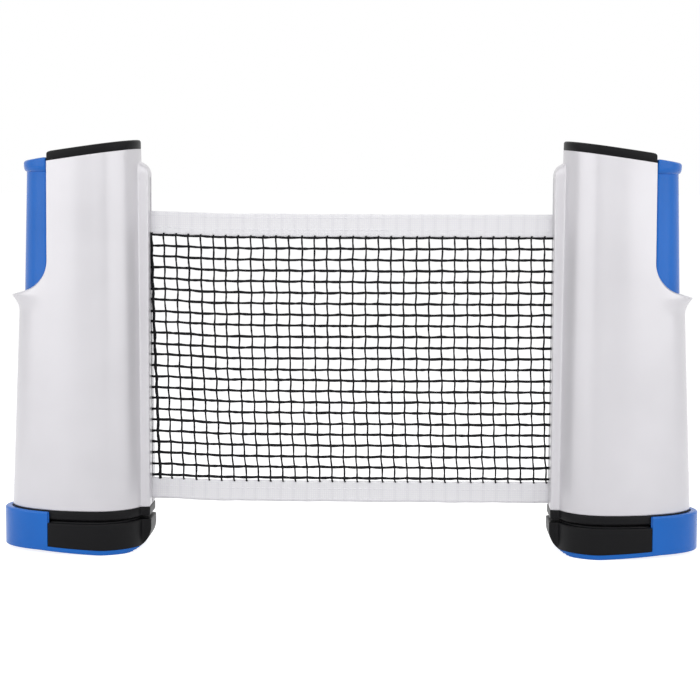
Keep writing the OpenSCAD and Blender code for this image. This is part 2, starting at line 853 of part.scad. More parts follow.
// Plan of a band of the net, mirrored about its middle
module net_plan(thickness) {
    half = thickness / 2;
    lean = half * tan(tail_angle() / 2);
    slant = [half * sin(tail_angle()), half * cos(tail_angle())];
    right = [
        [bend_x + lean, -half], [tail_end[0] - slant[0], tail_end[1] - slant[1]],
        [tail_end[0] + slant[0], tail_end[1] + slant[1]], [bend_x - lean, half]
    ];
    polygon(concat(
        [for (p = right) [post_x - p[0], p[1]]],
        [for (i = [3 : -1 : 0]) [right[i][0] - post_x, right[i][1]]]
    ));
}
module net_band(thickness, from, to) {
    translate([0, 0, from]) linear_extrude(to - from) net_plan(thickness);
}
mesh_foot = net_foot + tape_w;
mesh_h = net_width - 2 * tape_w;
mesh_w = 2 * (post_x - bend_x);
module net_mesh() {
    color("#3a3a3c") union() {
        for (i = [1 : mesh_rows - 1])
            let (z = mesh_foot + mesh_h * i / mesh_rows) net_band(thread, z - thread / 2, z + thread / 2);
        for (i = [0 : mesh_columns])
            translate([mesh_w * (i / mesh_columns - 0.5) - thread / 2, -thread / 2, mesh_foot])
                cube([thread, thread, mesh_h]);
    }
}
module net_tape_top() {
    color("whitesmoke") net_band(tape_t, net_top - tape_w, net_top);
}
module net_tape_bottom() {
    color("whitesmoke") net_band(tape_t, net_foot, net_foot + tape_w);
}

left_post() housing_front();  // left_housing_front
left_post() housing_back();  // left_housing_back
left_post() top_cap();  // left_top_cap
left_post() upper_jaw();  // left_upper_jaw
left_post() upper_grip();  // left_upper_grip
left_post() squeeze_handle();  // left_squeeze_handle
left_post() slide_bar();  // left_slide_bar
left_post() jaw_shoe();  // left_jaw_shoe
left_post() jaw_block();  // left_jaw_block
left_post() lower_grip();  // left_lower_grip
left_post() clamp_spring();  // left_clamp_spring
left_post() spring_guide_rod();  // left_spring_guide_rod
left_post() top_bearing_plate();  // left_top_bearing_plate
left_post() roller_shaft();  // left_roller_shaft
left_post() roller_tube();  // left_roller_tube
left_post() roller_bushes();  // left_roller_bushes
left_post() retract_spring();  // left_retract_spring
left_post() net_roll();  // left_net_roll
left_post() net_batten();  // left_net_batten
left_post() housing_screws();  // left_housing_screws
left_post() upper_jaw_screws();  // left_upper_jaw_screws
left_post() lower_jaw_screws();  // left_lower_jaw_screws
left_post() handle_screw();  // left_handle_screw
right_post() housing_front();  // right_housing_front
right_post() housing_back();  // right_housing_back
right_post() top_cap();  // right_top_cap
right_post() upper_jaw();  // right_upper_jaw
right_post() upper_grip();  // right_upper_grip
right_post() squeeze_handle();  // right_squeeze_handle
right_post() slide_bar();  // right_slide_bar
right_post() jaw_shoe();  // right_jaw_shoe
right_post() jaw_block();  // right_jaw_block
right_post() lower_grip();  // right_lower_grip
right_post() clamp_spring();  // right_clamp_spring
right_post() spring_guide_rod();  // right_spring_guide_rod
right_post() top_bearing_plate();  // right_top_bearing_plate
right_post() roller_shaft();  // right_roller_shaft
right_post() roller_tube();  // right_roller_tube
right_post() roller_bushes();  // right_roller_bushes
right_post() retract_spring();  // right_retract_spring
right_post() net_roll();  // right_net_roll
right_post() net_batten();  // right_net_batten
right_post() housing_screws();  // right_housing_screws
right_post() upper_jaw_screws();  // right_upper_jaw_screws
right_post() lower_jaw_screws();  // right_lower_jaw_screws
right_post() handle_screw();  // right_handle_screw
net_mesh();
net_tape_top();
net_tape_bottom();
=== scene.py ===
"""Retractable table tennis net with two clamp posts, dressed for rendering."""
import math
import random

import bmesh
import bpy
from mathutils import Matrix, Vector


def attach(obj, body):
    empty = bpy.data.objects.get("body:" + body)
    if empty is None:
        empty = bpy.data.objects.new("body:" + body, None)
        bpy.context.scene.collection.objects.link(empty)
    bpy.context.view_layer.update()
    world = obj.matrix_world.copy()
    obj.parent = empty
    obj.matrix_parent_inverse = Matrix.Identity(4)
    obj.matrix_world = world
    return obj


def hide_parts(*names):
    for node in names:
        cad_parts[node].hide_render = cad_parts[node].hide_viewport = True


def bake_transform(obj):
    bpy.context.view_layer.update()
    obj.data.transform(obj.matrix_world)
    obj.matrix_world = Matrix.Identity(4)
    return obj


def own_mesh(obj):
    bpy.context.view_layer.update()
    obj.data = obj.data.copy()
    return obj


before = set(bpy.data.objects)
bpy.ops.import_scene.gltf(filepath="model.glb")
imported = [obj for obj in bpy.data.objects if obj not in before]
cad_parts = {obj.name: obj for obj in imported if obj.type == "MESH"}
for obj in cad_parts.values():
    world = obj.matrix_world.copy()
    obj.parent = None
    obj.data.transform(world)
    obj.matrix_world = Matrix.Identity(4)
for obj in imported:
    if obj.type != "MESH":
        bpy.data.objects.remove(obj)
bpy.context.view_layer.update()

MM = 0.001
SIDES = ("left", "right")

# ---- Sizes in millimetres, as in the part's source ----

# The gap between the two noses, and how far a nose reaches from its post's axis
POST_GAP, NOSE = 201.4, 26.3
POST = POST_GAP / 2 + NOSE

# The clamp, from the foot of the shoe up
FLOOR, BLOCK_H, GRIP_T, JAW_GAP, JAW_T = 2.4, 12.1, 1.5, 1.2, 3.1
GRIP_STAND, RIM_DROP, CLAMP_TRAVEL = 0.2, 0.5, 50
BLOCK_TOP = FLOOR + BLOCK_H
LOW_TOP = BLOCK_TOP + GRIP_T - GRIP_STAND
TABLE = BLOCK_TOP + GRIP_T + JAW_GAP
JAW_FOOT, JAW = TABLE + GRIP_STAND, TABLE + GRIP_T
BASE = JAW + JAW_T
RIM = BASE - RIM_DROP

# The net over the table, and the cap over the net
NET_HEIGHT, NET_WIDTH, HEAD_ROOM, CAP_T = 152.5, 145.3, 32, 4.6
NET_TOP = TABLE + NET_HEIGHT
NET_FOOT = NET_TOP - NET_WIDTH
CAP = NET_TOP + HEAD_ROOM

# The housing's oval and its nose, which draw in from the foot to the cap
IN_REACH, OUT_REACH, HALF, WALL = 24.2, 44.9, 27.0, 2.0
OUT_DRAW, TOP_SHARE, SLOPE = 7.8, 0.87, math.tan(math.radians(8))
CAP_IN = IN_REACH * TOP_SHARE
NOSE_DRAW, NOSE_HALF, NOSE_TOP_HALF, NOSE_CORNER = 0.5, 11.2, 6.6, 1.3
SHOULDER_H, SHOULDER_BELOW, SHOULDER_LEAN, SLOT = 6.5, 6.6, 2.0, 3.0
SHOULDER = CAP - SHOULDER_H - SHOULDER_BELOW
DIVIDER, WINDOW = -21.2, -23.2

# The handle, and the ledge of the window that bares it
HANDLE_RISE, HANDLE_DRAW, HANDLE_GAP, HANDLE_WALL, HANDLE_GUIDE = 2.0, 1.6, 0.5, 2.0, 24
FLANGE_H, FLANGE_REACH = 6.5, 1.5
WINDOW_R, LEDGE_SLOPE, FLARE, LEDGE_H, LEDGE_SPARE = 16.5, math.radians(15), 4.5, 9.0, 10.5
HANDLE_TOP = CAP - (CAP_IN + OUT_REACH - OUT_DRAW) * SLOPE + HANDLE_RISE
LEDGE = HANDLE_TOP - FLANGE_H - CLAMP_TRAVEL - LEDGE_SPARE
HANDLE_FOOT = LEDGE - HANDLE_GUIDE

# The bar, the spring on its rod, and the lug that holds the spring down
BAR_W, BAR_T, BAR_GAP, BAR_ROOM, FIT = 16, 2.4, 0.4, 0.4, 0.2
SPRING_D, SPRING_WIRE, SPRING_TURNS, SPRING_SHUT, SPRING_BELOW = 8.0, 0.9, 16, 30, 12
LUG_T, ROD_ABOVE, ROOF_ABOVE = 4, 4, 2
SEAT = HANDLE_FOOT - CLAMP_TRAVEL - SPRING_BELOW
LUG = SEAT + SPRING_SHUT + CLAMP_TRAVEL
HANDLE_ROOF = LUG + LUG_T + ROD_ABOVE + CLAMP_TRAVEL + ROOF_ABOVE
BAR_X = WINDOW - BAR_GAP
ROD_X = BAR_X - BAR_T - FIT - SPRING_D / 2

# The shoe, the lower block and the rooms of the grips
SHOE_REACH, SHOE_SIDE, SHOE_LAP, SHOE_GAP, BOW_R = 3.9, 1.5, 0.2, 0.4, 12.0
SHOE_RISE, RISE_START, RISE_RUN = 1.8, 4.0, 32.0
LOW_NOSE, LOW_HALF = NOSE + 0.5, NOSE_HALF - 0.5
BLOCK_X = WINDOW + SHOE_LAP
GRIP_ROOM, GRIP_END = 1.0, 21.1

# The rollers and the screws
ROLLER_X, TUBE_D, ROLL_D = -2.0, 16.0, 34.0
SCREW_HEAD, SCREW_D, HEAD_H, HEAD_SINK, HEAD_FIT = 5.6, 2.9, 1.3, 0.3, 0.2
HEAD_SEAT = HEAD_SINK + HEAD_H
SHOE_SCREWS = (-14.0, 6.0, ROD_X - 2)
CAP_SCREWS, CAP_SCREW_Z, CAP_SCREW_Y = (-14.0, 8.0), 183.4, 10.0

# The tapes, and their edges toward the mesh as they lie on the stretched net
TAPE_W, TAPE_T, TAPE_SAG = 12.0, 1.2, 0.6
MESH_FOOT, MESH_TOP = 34.5, 158.3
# The mesh: its rows and columns, and how far the columns' ends lie on the tapes
ROWS, ROW_FOOT, ROW_PITCH = 23, 35.95, 5.542
FIRST_COLUMN, LAST_COLUMN = -4, 33
COLUMN_START, COLUMN_PITCH = -94.4, 6.416
TUCK = 0.6


def lerp(a, b, t):
    return a + (b - a) * t


def clamp(v, low=0.0, high=1.0):
    return max(low, min(high, v))


def ease(t):
    """A share from 0 to 1 with a soft start and a soft end."""
    return t * t * (3 - 2 * t)


def quarter(steps):
    """Angles of a quarter turn."""
    return [math.pi / 2 * i / steps for i in range(steps + 1)]


def rounded_top(top, edge, steps):
    """Rows (height, inset) of an upper edge that is rounded up to a top."""
    return [(top - edge + edge * math.sin(a), edge * (1 - math.cos(a))) for a in quarter(steps)]


def circle(radius, steps):
    """Points (u, v) round a circle."""
    turns = [2 * math.pi * i / steps for i in range(steps)]
    return [(radius * math.cos(a), radius * math.sin(a)) for a in turns]


def spread(a, b, steps, ends=(1.0, 1.0)):
    """Steps from a to b, finer toward an end whose weight is below one."""
    out = []
    for i in range(steps + 1):
        t = i / steps
        w0, w1 = ends
        s = t + (w0 - 1) * t * (1 - t) ** 2 - (w1 - 1) * t ** 2 * (1 - t)
        out.append(lerp(a, b, s))
    return out


# ---- Meshes ----

def linked(name, data):
    """A new object of the scene that holds a mesh, a lamp or a camera."""
    obj = bpy.data.objects.new(name, data)
    bpy.context.scene.collection.objects.link(obj)
    return obj


def clean(mesh, angle=32, merge=False, outward=True):
    """Merges doubled points, turns the faces out and keeps edges sharp past an angle."""
    bm = bmesh.new()
    bm.from_mesh(mesh)
    if merge:
        bmesh.ops.remove_doubles(bm, verts=bm.verts, dist=1e-7)
    if outward:
        bmesh.ops.recalc_face_normals(bm, faces=bm.faces)
    for f in bm.faces:
        f.smooth = True
    for e in bm.edges:
        e.smooth = len(e.link_faces) == 2 and e.calc_face_angle(0) < math.radians(angle)
    bm.to_mesh(mesh)
    bm.free()


def settle(obj):
    """Makes the result of an object's modifiers its plain mesh."""
    depsgraph = bpy.context.evaluated_depsgraph_get()
    mesh = bpy.data.meshes.new_from_object(obj.evaluated_get(depsgraph), depsgraph=depsgraph)
    obj.modifiers.clear()
    obj.data = mesh
    return mesh


def across(side, x):
    """Place in the set of a place that is measured from a post's axis toward the net."""
    return x - POST if side == "left" else POST - x


def new_object(name, verts, faces, side=None, angle=32):
    """A closed mesh from points in millimetres; a side puts a post's piece in its place."""
    if side:
        verts = [(across(side, x), y, z) for x, y, z in verts]
    mesh = bpy.data.meshes.new(name)
    mesh.from_pydata([Vector(v) * MM for v in verts], [], faces)
    clean(mesh, angle, merge=True)
    return linked(name, mesh)


def join(name, objects):
    """One object from several, without bpy.ops."""
    bm = bmesh.new()
    for o in objects:
        bm.from_mesh(o.data)
    first = objects[0]
    bm.to_mesh(first.data)
    bm.free()
    for o in objects[1:]:
        bpy.data.objects.remove(o)
    first.name = name
    return first


def cut(obj, cutter):
    """Takes the cutter out of the object."""
    mod = obj.modifiers.new("cut", "BOOLEAN")
    mod.object = cutter
    mod.operation = "DIFFERENCE"
    mod.solver = "EXACT"
    clean(settle(obj), outward=False)
    bpy.data.objects.remove(cutter)
    return obj


def loft(rings):
    """Vertices and faces through closed rings of equally many points, capped at both ends."""
    count = len(rings[0])
    verts = [p for ring in rings for p in ring]
    faces = []
    for k in range(len(rings) - 1):
        for i in range(count):
            a, b = k * count + i, k * count + (i + 1) % count
            faces.append((a, b, b + count, a + count))
    faces.append(tuple(range(count - 1, -1, -1)))
    last = (len(rings) - 1) * count
    faces.append(tuple(range(last, last + count)))
    return verts, faces


def wall_sweep(sections):
    """A solid wall from sections, each a pair of equally long rows (outer, inner)."""
    rows = len(sections[0][0])
    verts = []
    for outer, inner in sections:
        verts += outer + inner
    step = 2 * rows
    faces = []
    for c in range(len(sections) - 1):
        a, b = c * step, (c + 1) * step
        for k in range(rows - 1):
            faces.append((a + k, b + k, b + k + 1, a + k + 1))
            faces.append((a + rows + k + 1, b + rows + k + 1, b + rows + k, a + rows + k))
        faces.append((a, a + rows, b + rows, b))
        faces.append((a + rows - 1, b + rows - 1, b + 2 * rows - 1, a + 2 * rows - 1))
    for base, flip in ((0, False), ((len(sections) - 1) * step, True)):
        for k in range(rows - 1):
            quad = (base + k, base + k + 1, base + rows + k + 1, base + rows + k)
            faces.append(quad[::-1] if flip else quad)
    return verts, faces


def box(name, low, high, side=None):
    """A block between two corners."""
    (x0, y0, z0), (x1, y1, z1) = low, high
    ring = [(x0, y0), (x1, y0), (x1, y1), (x0, y1)]
    return new_object(name, *loft([[(x, y, z) for x, y in ring] for z in (z0, z1)]), side)


def rod(name, centre, axis, radius, from_, to, side, steps=40):
    """A round bar along Y or Z."""
    plan = [(centre[0] + u, centre[1] + v) for u, v in circle(radius, steps)]
    rings = [[(p, q, at) if axis == "z" else (p, at, q) for p, q in plan] for at in (from_, to)]
    return new_object(name, *loft(rings), side)


# ---- The post's plan: an oval and a nose, seen from a point inside both ----

EYE = 8.0
# How softly the nose runs into the oval
FILLET = 1.5
# Cosine of a look from the eye that passes the nose by
ASIDE = 0.02
# How far the nose's top stays in from the cap's edge
CAP_INSET = 1.0


def from_eye(a, d):
    """Plan place at an angle and a distance from the eye, on the front."""
    return EYE + d * math.cos(a), -d * math.sin(a)


def oval_radius(a, inner, outer, half):
    """Distance from the eye to an oval with a short inner and a long outer half."""
    c, s = math.cos(a), math.sin(a)
    for reach in (inner, outer):
        p, q, r = (c / reach) ** 2 + (s / half) ** 2, EYE * c / reach ** 2, (EYE / reach) ** 2 - 1
        d = (-q + math.sqrt(max(q * q - p * r, 0))) / p
        if EYE + d * c >= 0:
            break
    return d


def nose_radius(a, reach, half, corner):
    """Distance from the eye to a block with rounded corners, along an angle from 0 to pi."""
    c, s = math.cos(a), math.sin(a)
    if c <= ASIDE or reach - EYE < corner:
        return 0.0
    d = (reach - EYE) / c
    if s > 1e-6:
        d = min(d, half / s)
    cx, cy = reach - corner - EYE, half - corner
    x, y = d * c, d * s
    if x > cx and y > cy:
        along = cx * c + cy * s
        aside = cx * s - cy * c
        if abs(aside) < corner:
            d = along + math.sqrt(corner * corner - aside * aside)
    return d


def angle_at(radius, x):
    """Angle past a right angle at which a plan, given by its radius from the eye, comes to a place x."""
    low, high = math.pi / 2, math.pi
    for _ in range(40):
        mid = (low + high) / 2
        if EYE + radius(mid) * math.cos(mid) > x:
            low = mid
        else:
            high = mid
    return high


def blend_max(a, b, k):
    """The larger of two, rounded where they come closer than k."""
    h = max(k - abs(a - b), 0) / k
    return max(a, b) + h * h * k / 4


def share(z):
    """Share of the way from the housing's foot to the cap's edge over the net."""
    return (z - BASE) / (CAP - BASE)


def taper(z):
    """Share of the foot's depth and inner reach that is left at a height."""
    return 1 - (1 - TOP_SHARE) * share(z)


def outer_end(z):
    """Reach of the housing's outer end at a height, without the ledge's flare."""
    return OUT_REACH - OUT_DRAW * share(z)


def seat(x):
    """Height of the cap's seat above a place across the post."""
    return CAP - (CAP_IN - x) * SLOPE


def nose_at(z):
    """Reach and half depth of the nose at a height."""
    if z < SHOULDER:
        t = (z - BASE) / (SHOULDER - BASE)
        return NOSE - NOSE_DRAW * t, lerp(NOSE_HALF, NOSE_TOP_HALF, t)
    round_off = 1 - math.sqrt(1 - clamp((z - SHOULDER) / SHOULDER_H) ** 2)
    return (lerp(NOSE - NOSE_DRAW, CAP_IN - CAP_INSET, round_off),
            lerp(NOSE_TOP_HALF, NOSE_TOP_HALF - SHOULDER_LEAN, round_off))


def oval_at(a, z, inset=0.0):
    """Distance from the eye to the housing's oval at a height."""
    return oval_radius(a, IN_REACH * taper(z) - inset, outer_end(z) - inset, HALF * taper(z) - inset)


def plan_radius(a, z, inset=0.0):
    """Distance from the eye to the housing's outside, without the ledge's flare."""
    reach, half = nose_at(z)
    return blend_max(oval_at(a, z, inset), nose_radius(a, reach - inset, half - inset, NOSE_CORNER), FILLET)


def flare(z):
    """How far the ledge of the window stands out at a height."""
    if z < LEDGE:
        return FLARE * clamp(1 - (LEDGE - z) / LEDGE_H) ** 2
    return FLARE * clamp(1 - (z - LEDGE) / LEDGE_H)


def flared(x, end, z):
    """A place outward of the window's plane, moved out where the ledge flares."""
    return x - flare(z) * clamp((WINDOW - x) / (end + WINDOW)) ** 1.6


def plan_point(a, z, inset=0.0):
    """Point of the housing's outside at an angle from the net, on the front."""
    x, y = from_eye(a, plan_radius(a, z, inset))
    return (flared(x, outer_end(z), z) if x < WINDOW else x), y


def room_at(z):
    """Inner reach, outer reach and half depth of the room inside the housing's wall."""
    return IN_REACH * taper(z) - WALL, outer_end(z) - WALL, HALF * taper(z) - WALL


# ---- Housing ----

FOOT_ROUND, RIM_ROUND, SEAT_ROUND = 0.8, 0.8, 0.3
# Half the gap between the shells at the nose, the outer end and the divider, and the seam's groove
NOSE_SEAM, END_SEAM, DIVIDER_SEAM, SEAM_GROOVE = 0.07, 0.06, 0.04, 0.3
# How far below the shoulder the slot begins to close, and over what height
CLOSE_BELOW, CLOSE_RUN = 1.5, 1.2
# Half the angle over which the nose's corner has fine columns
CORNER_SPAN = 0.085
# Columns of a shell's faces: on its net side as (family, share) pairs, on its outer end as shares
NET_COLUMNS = ([("face", t) for t in spread(0, 1, 4)] + [("corner", t) for t in spread(0, 1, 8)[1:]]
               + [("side", t) for t in spread(0, 1, 52, (0.25, 0.06))[1:]])
END_COLUMNS = spread(0, 1, 36, (0.06, 0.25))


def slot_half(z):
    """Half the gap between the shells at the nose: the slot, which closes to a seam above the net."""
    return lerp(SLOT / 2, NOSE_SEAM, clamp((z - SHOULDER + CLOSE_BELOW) / CLOSE_RUN))


def window_angle(z, inset=0.0):
    """Angle at which the plan crosses the window's plane."""
    return angle_at(lambda a: plan_radius(a, z, inset), WINDOW)


def net_angle(column, z, inset):
    """Angle of a column on the net side of the housing."""
    kind, t = column
    reach, half = nose_at(z)
    # The middle of the rounded corner lies in from the sharp one by this much each way
    corner_in = 0.3 * NOSE_CORNER
    middle = math.atan2(half - corner_in, reach - EYE - corner_in)
    first = math.asin(min(1, slot_half(z) / plan_radius(0, z, inset)))
    if kind == "face":
        return lerp(first, middle - CORNER_SPAN, t)
    if kind == "corner":
        return lerp(middle - CORNER_SPAN, middle + CORNER_SPAN, t)
    return lerp(middle + CORNER_SPAN, window_angle(z, inset), t)


def rounding(radius, steps=4):
    """Pairs (inset, height) of a rounded edge from its flat side to its upright side."""
    return [(radius * (1 - math.sin(a)), radius * (1 - math.cos(a))) for a in quarter(steps)]


def shell_rows(top, top_round, levels):
    """(height, inset) rows from the foot to a top, with both edges rounded."""
    foot = [(BASE + h, i) for i, h in rounding(FOOT_ROUND)]
    head = [(top - h, i) for i, h in reversed(rounding(top_round))]
    low, high = foot[-1][0], head[0][0]
    return foot + [(lerp(low, high, t), 0.0) for t in levels] + head


def net_shell(half):
    """The part of a shell on the net side of the window's plane."""
    sections = []
    # Rows of the wall, which lie closer near the seat
    levels = spread(0, 0.9, 14)[1:] + spread(0.9, 1, 30)[1:-1]
    last = len(NET_COLUMNS) - 1
    for n, column in enumerate(NET_COLUMNS):
        # A column leans with its height, so where it meets the seat is found step by step
        top = CAP
        for _ in range(4):
            top = seat(plan_point(net_angle(column, top, 0), top)[0])
        outer, inner = [], []
        for z, inset in shell_rows(top, SEAT_ROUND, levels):
            if n == 0 and z > SHOULDER:
                inset += SEAM_GROOVE
            x, y = plan_point(net_angle(column, z, inset), z, inset)
            outer.append((WINDOW if n == last else x, half * -y, z))
            room_in, room_out, room_half = room_at(z)
            y_end = room_half * math.sqrt(1 - (WINDOW / room_out) ** 2)
            a = lerp(math.asin(slot_half(z) / room_half), math.pi - math.asin(y_end / room_half), n / last)
            reach = room_in if math.cos(a) > 0 else room_out
            inner.append((WINDOW if n == last else reach * math.cos(a), half * room_half * math.sin(a), z))
        sections.append((outer, inner))
    return wall_sweep(sections)


def window_top(x):
    """Height of the window's edge outward of its plane."""
    curve_x = WINDOW - WINDOW_R
    slope_x = curve_x + WINDOW_R * math.sin(LEDGE_SLOPE)
    tip_x = -outer_end(LEDGE) - FLARE
    if x < slope_x:
        return LEDGE + (x - tip_x) * math.tan(LEDGE_SLOPE)
    curve_z = LEDGE + (slope_x - tip_x) * math.tan(LEDGE_SLOPE) + WINDOW_R * math.cos(LEDGE_SLOPE)
    return curve_z - math.sqrt(max(0, WINDOW_R ** 2 - (x - curve_x) ** 2))


def end_shell(half):
    """The part of a shell outward of the window's plane, up to the ledge."""
    sections = []
    # Rows of the wall, which lie closer near the ledge
    levels = spread(0, 0.82, 10)[1:] + spread(0.82, 1, 16)[1:-1]
    for n, t in enumerate(END_COLUMNS):
        groove = SEAM_GROOVE if n == len(END_COLUMNS) - 1 else 0
        top = LEDGE
        for _ in range(6):
            x, _y = plan_point(lerp(window_angle(top), math.pi, t), top)
            top = window_top(WINDOW if n == 0 else x)
        outer, inner = [], []
        for z, inset in shell_rows(top, RIM_ROUND, levels):
            x, y = plan_point(lerp(window_angle(z, inset), math.pi, t), z, inset + groove)
            outer.append((WINDOW if n == 0 else x, half * max(-y, END_SEAM), z))
            _, room_out, room_half = room_at(z)
            first = math.pi - math.asin(math.sqrt(1 - (WINDOW / room_out) ** 2))
            a = lerp(first, math.pi, t)
            x, y = flared(room_out * math.cos(a), room_out, z), room_half * math.sin(a)
            inner.append((WINDOW if n == 0 else x, half * max(y, END_SEAM), z))
        sections.append((outer, inner))
    return wall_sweep(sections)


def housing_half(side, name, half):
    """A housing shell: net side, outer end and its half of the divider."""
    node = f"{side}_{name}"
    parts = [new_object(node, *net_shell(half), side), new_object(node, *end_shell(half), side)]
    # The divider's ends stay just inside the foot and the seat, and its side bites into the wall
    shy, bite, window = 0.1, 0.6, WINDOW + 0.03
    rings = []
    for z, level in ((BASE + shy, BASE), (seat(WINDOW) - shy, CAP)):
        _, room_out, room_half = room_at(level)
        near = half * DIVIDER_SEAM
        far = half * (room_half * math.sqrt(1 - (WINDOW / room_out) ** 2) + bite)
        rings.append([(window, near, z), (DIVIDER, near, z), (DIVIDER, far, z), (window, far, z)])
    parts.append(new_object(node, *loft(rings), side))
    return parts


# ---- Cap ----

def cap_plan(rise, inset, steps=56):
    """Closed plan of the cap in a plane above the seat, with the flat side on the window's plane."""
    ring = []
    for i in range(steps + 1):
        z = CAP + rise
        for _ in range(5):
            a = lerp(0.0, window_angle(z, inset), i / steps)
            x, y = from_eye(a, oval_at(a, z, inset))
            z = seat(x) + rise
        ring.append((x, -y, z))
    # The rounded corner between the oval and the flat side
    flat = WINDOW + inset
    last_y = ring[-1][1]
    corner = min(inset + 0.5, 1.4)
    ring[-1] = (flat + corner, last_y, seat(flat + corner) + rise)
    ring.append((flat + 0.15 * corner, last_y - 0.25 * corner, seat(flat) + rise))
    ring.append((flat, last_y - corner, seat(flat) + rise))
    other = [(x, -y, z) for x, y, z in reversed(ring)]
    return ring + other[:-1]


def top_cap(side):
    """The cap: a small step above its seat, upright sides and a rounded top edge."""
    rows = [(0.0, 0.45), (0.12, 0.12), (0.35, 0.0)] + rounded_top(CAP_T, 1.3, 6)
    return new_object(f"{side}_top_cap_skin", *loft([cap_plan(*row) for row in rows]), side)


# ---- Handle ----

HANDLE_A = outer_end(LEDGE) - WALL - HANDLE_GAP
HANDLE_B = HALF * taper(LEDGE) - WALL - HANDLE_GAP
HANDLE_CORNER = 0.9


def handle_ring(inset, flat_inset, height, steps=44):
    """Closed plan of the handle; height gives z from x."""
    a, b = HANDLE_A - inset, HANDLE_B - inset
    flat = BAR_X - flat_inset
    opening = math.acos((HANDLE_CORNER - flat) / a)
    y = b * math.sin(opening)
    # The rounded corner between the flat side and the oval
    soft = [(flat, y - 1.1 * HANDLE_CORNER), (flat - 0.12, y - 0.35 * HANDLE_CORNER), (flat - 0.45, y - 0.02)]
    arc = [math.pi + opening * i / steps for i in range(-steps, steps + 1)]
    ring = soft + [(a * math.cos(t), b * math.sin(t)) for t in arc] + [(x, -v) for x, v in reversed(soft)]
    return [(x, v, height(x)) for x, v in ring]


def squeeze_handle(side):
    """The handle: an open foot, a neck that draws in, and the thumb flange with its sloping top."""
    def level(z):
        return lambda x: z

    def below_top(drop):
        return lambda x: seat(x) + HANDLE_RISE - drop

    # The flange's rounded top edge, and the drop to the last row of its upright side
    edge, side_drop = 1.3, 1.9
    # The round underside of the flange, its step out from the neck, and the neck's end below it
    bead_h, bead_step, neck_gap = FLANGE_H / 2, 0.06, 0.5
    bead = HANDLE_TOP - FLANGE_H / 3
    out, thick = HANDLE_DRAW - FLANGE_REACH, HANDLE_WALL
    outer = [(0.5, 0.0, level(HANDLE_FOOT)), (0.0, 0.0, level(HANDLE_FOOT + 0.8))]
    outer += [(0.0, 0.0, level(LEDGE - 6)), (0.0, 0.0, level(LEDGE))]
    neck_top = bead - bead_h - neck_gap
    outer += [(HANDLE_DRAW * t, 0.0, level(lerp(LEDGE, neck_top, t))) for t in spread(0, 1, 10)[1:]]
    for s in quarter(8):
        inset = HANDLE_DRAW - bead_step - (FLANGE_REACH - bead_step) * math.sin(s)
        outer.append((inset, 0.0, level(bead - bead_h * math.cos(s))))
    outer.append((out, 0.0, below_top(side_drop)))
    for s in quarter(7):
        inset = edge * (1 - math.cos(s))
        outer.append((out + inset, inset, below_top(edge * (1 - math.sin(s)))))
    inner = [(thick + HANDLE_DRAW, thick, level(HANDLE_ROOF)), (thick, thick, level(LEDGE)),
             (thick, thick, level(HANDLE_FOOT))]
    rings = [handle_ring(*row) for row in inner + outer]
    return new_object(f"{side}_squeeze_handle_skin", *loft(rings), side)


# ---- Shoe, lower block and upper jaw ----

BOW_X = LOW_NOSE - BOW_R
# A height above the bow, where the shoe's plan is full
FULL = 20
# The shoe's rounded foot, as (height, inset) pairs
SHOE_FOOT = [(0.0, 0.7), (0.1, 0.35), (0.3, 0.1), (0.6, 0.0)]
# Angles from the nose's face to the outer end, finest round the nose's corner
NOSE_FROM, NOSE_TO = 0.42, 0.66
LOW_ANGLES = ([lerp(0, NOSE_FROM, i / 8) for i in range(8)]
              + [lerp(NOSE_FROM, NOSE_TO, i / 14) for i in range(14)]
              + [lerp(NOSE_TO, math.pi, i / 84) for i in range(85)])


def low_radius(a, z, inset=0.0):
    """Distance from the eye to the side of the shoe and the block at a height."""
    d = oval_radius(a, IN_REACH - inset, OUT_REACH + SHOE_REACH - inset, HALF + SHOE_SIDE - inset)
    nose = nose_radius(a, LOW_NOSE - inset, LOW_HALF - inset, NOSE_CORNER)
    d = blend_max(d, nose, FILLET)
    if z < BOW_R and math.cos(a) > ASIDE:
        edge = BOW_X + math.sqrt(max(BOW_R ** 2 - (BOW_R - z) ** 2, 0)) - inset
        d = min(d, (edge - EYE) / math.cos(a))
    return d


def underside(x):
    """Height of the shoe's underside, which rises toward the outer end."""
    return SHOE_RISE * clamp((RISE_START - x) / RISE_RUN)


def whole(front):
    """A closed plan from its front half, whose ends lie on the middle line."""
    return front + [(x, -y) for x, y in reversed(front[1:-1])]


def low_ring(z, inset):
    """Plan of the shoe's plate; where the wall wraps it, it stays just inside the wall."""
    inside = 0.35
    front = []
    for a in LOW_ANGLES:
        d = low_radius(a, z, inset)
        d -= inside * clamp((BLOCK_X - inside - EYE - d * math.cos(a)) / 0.4)
        front.append(from_eye(a, d))
    return [(x, y, z + underside(x)) for x, y in whole(front)]


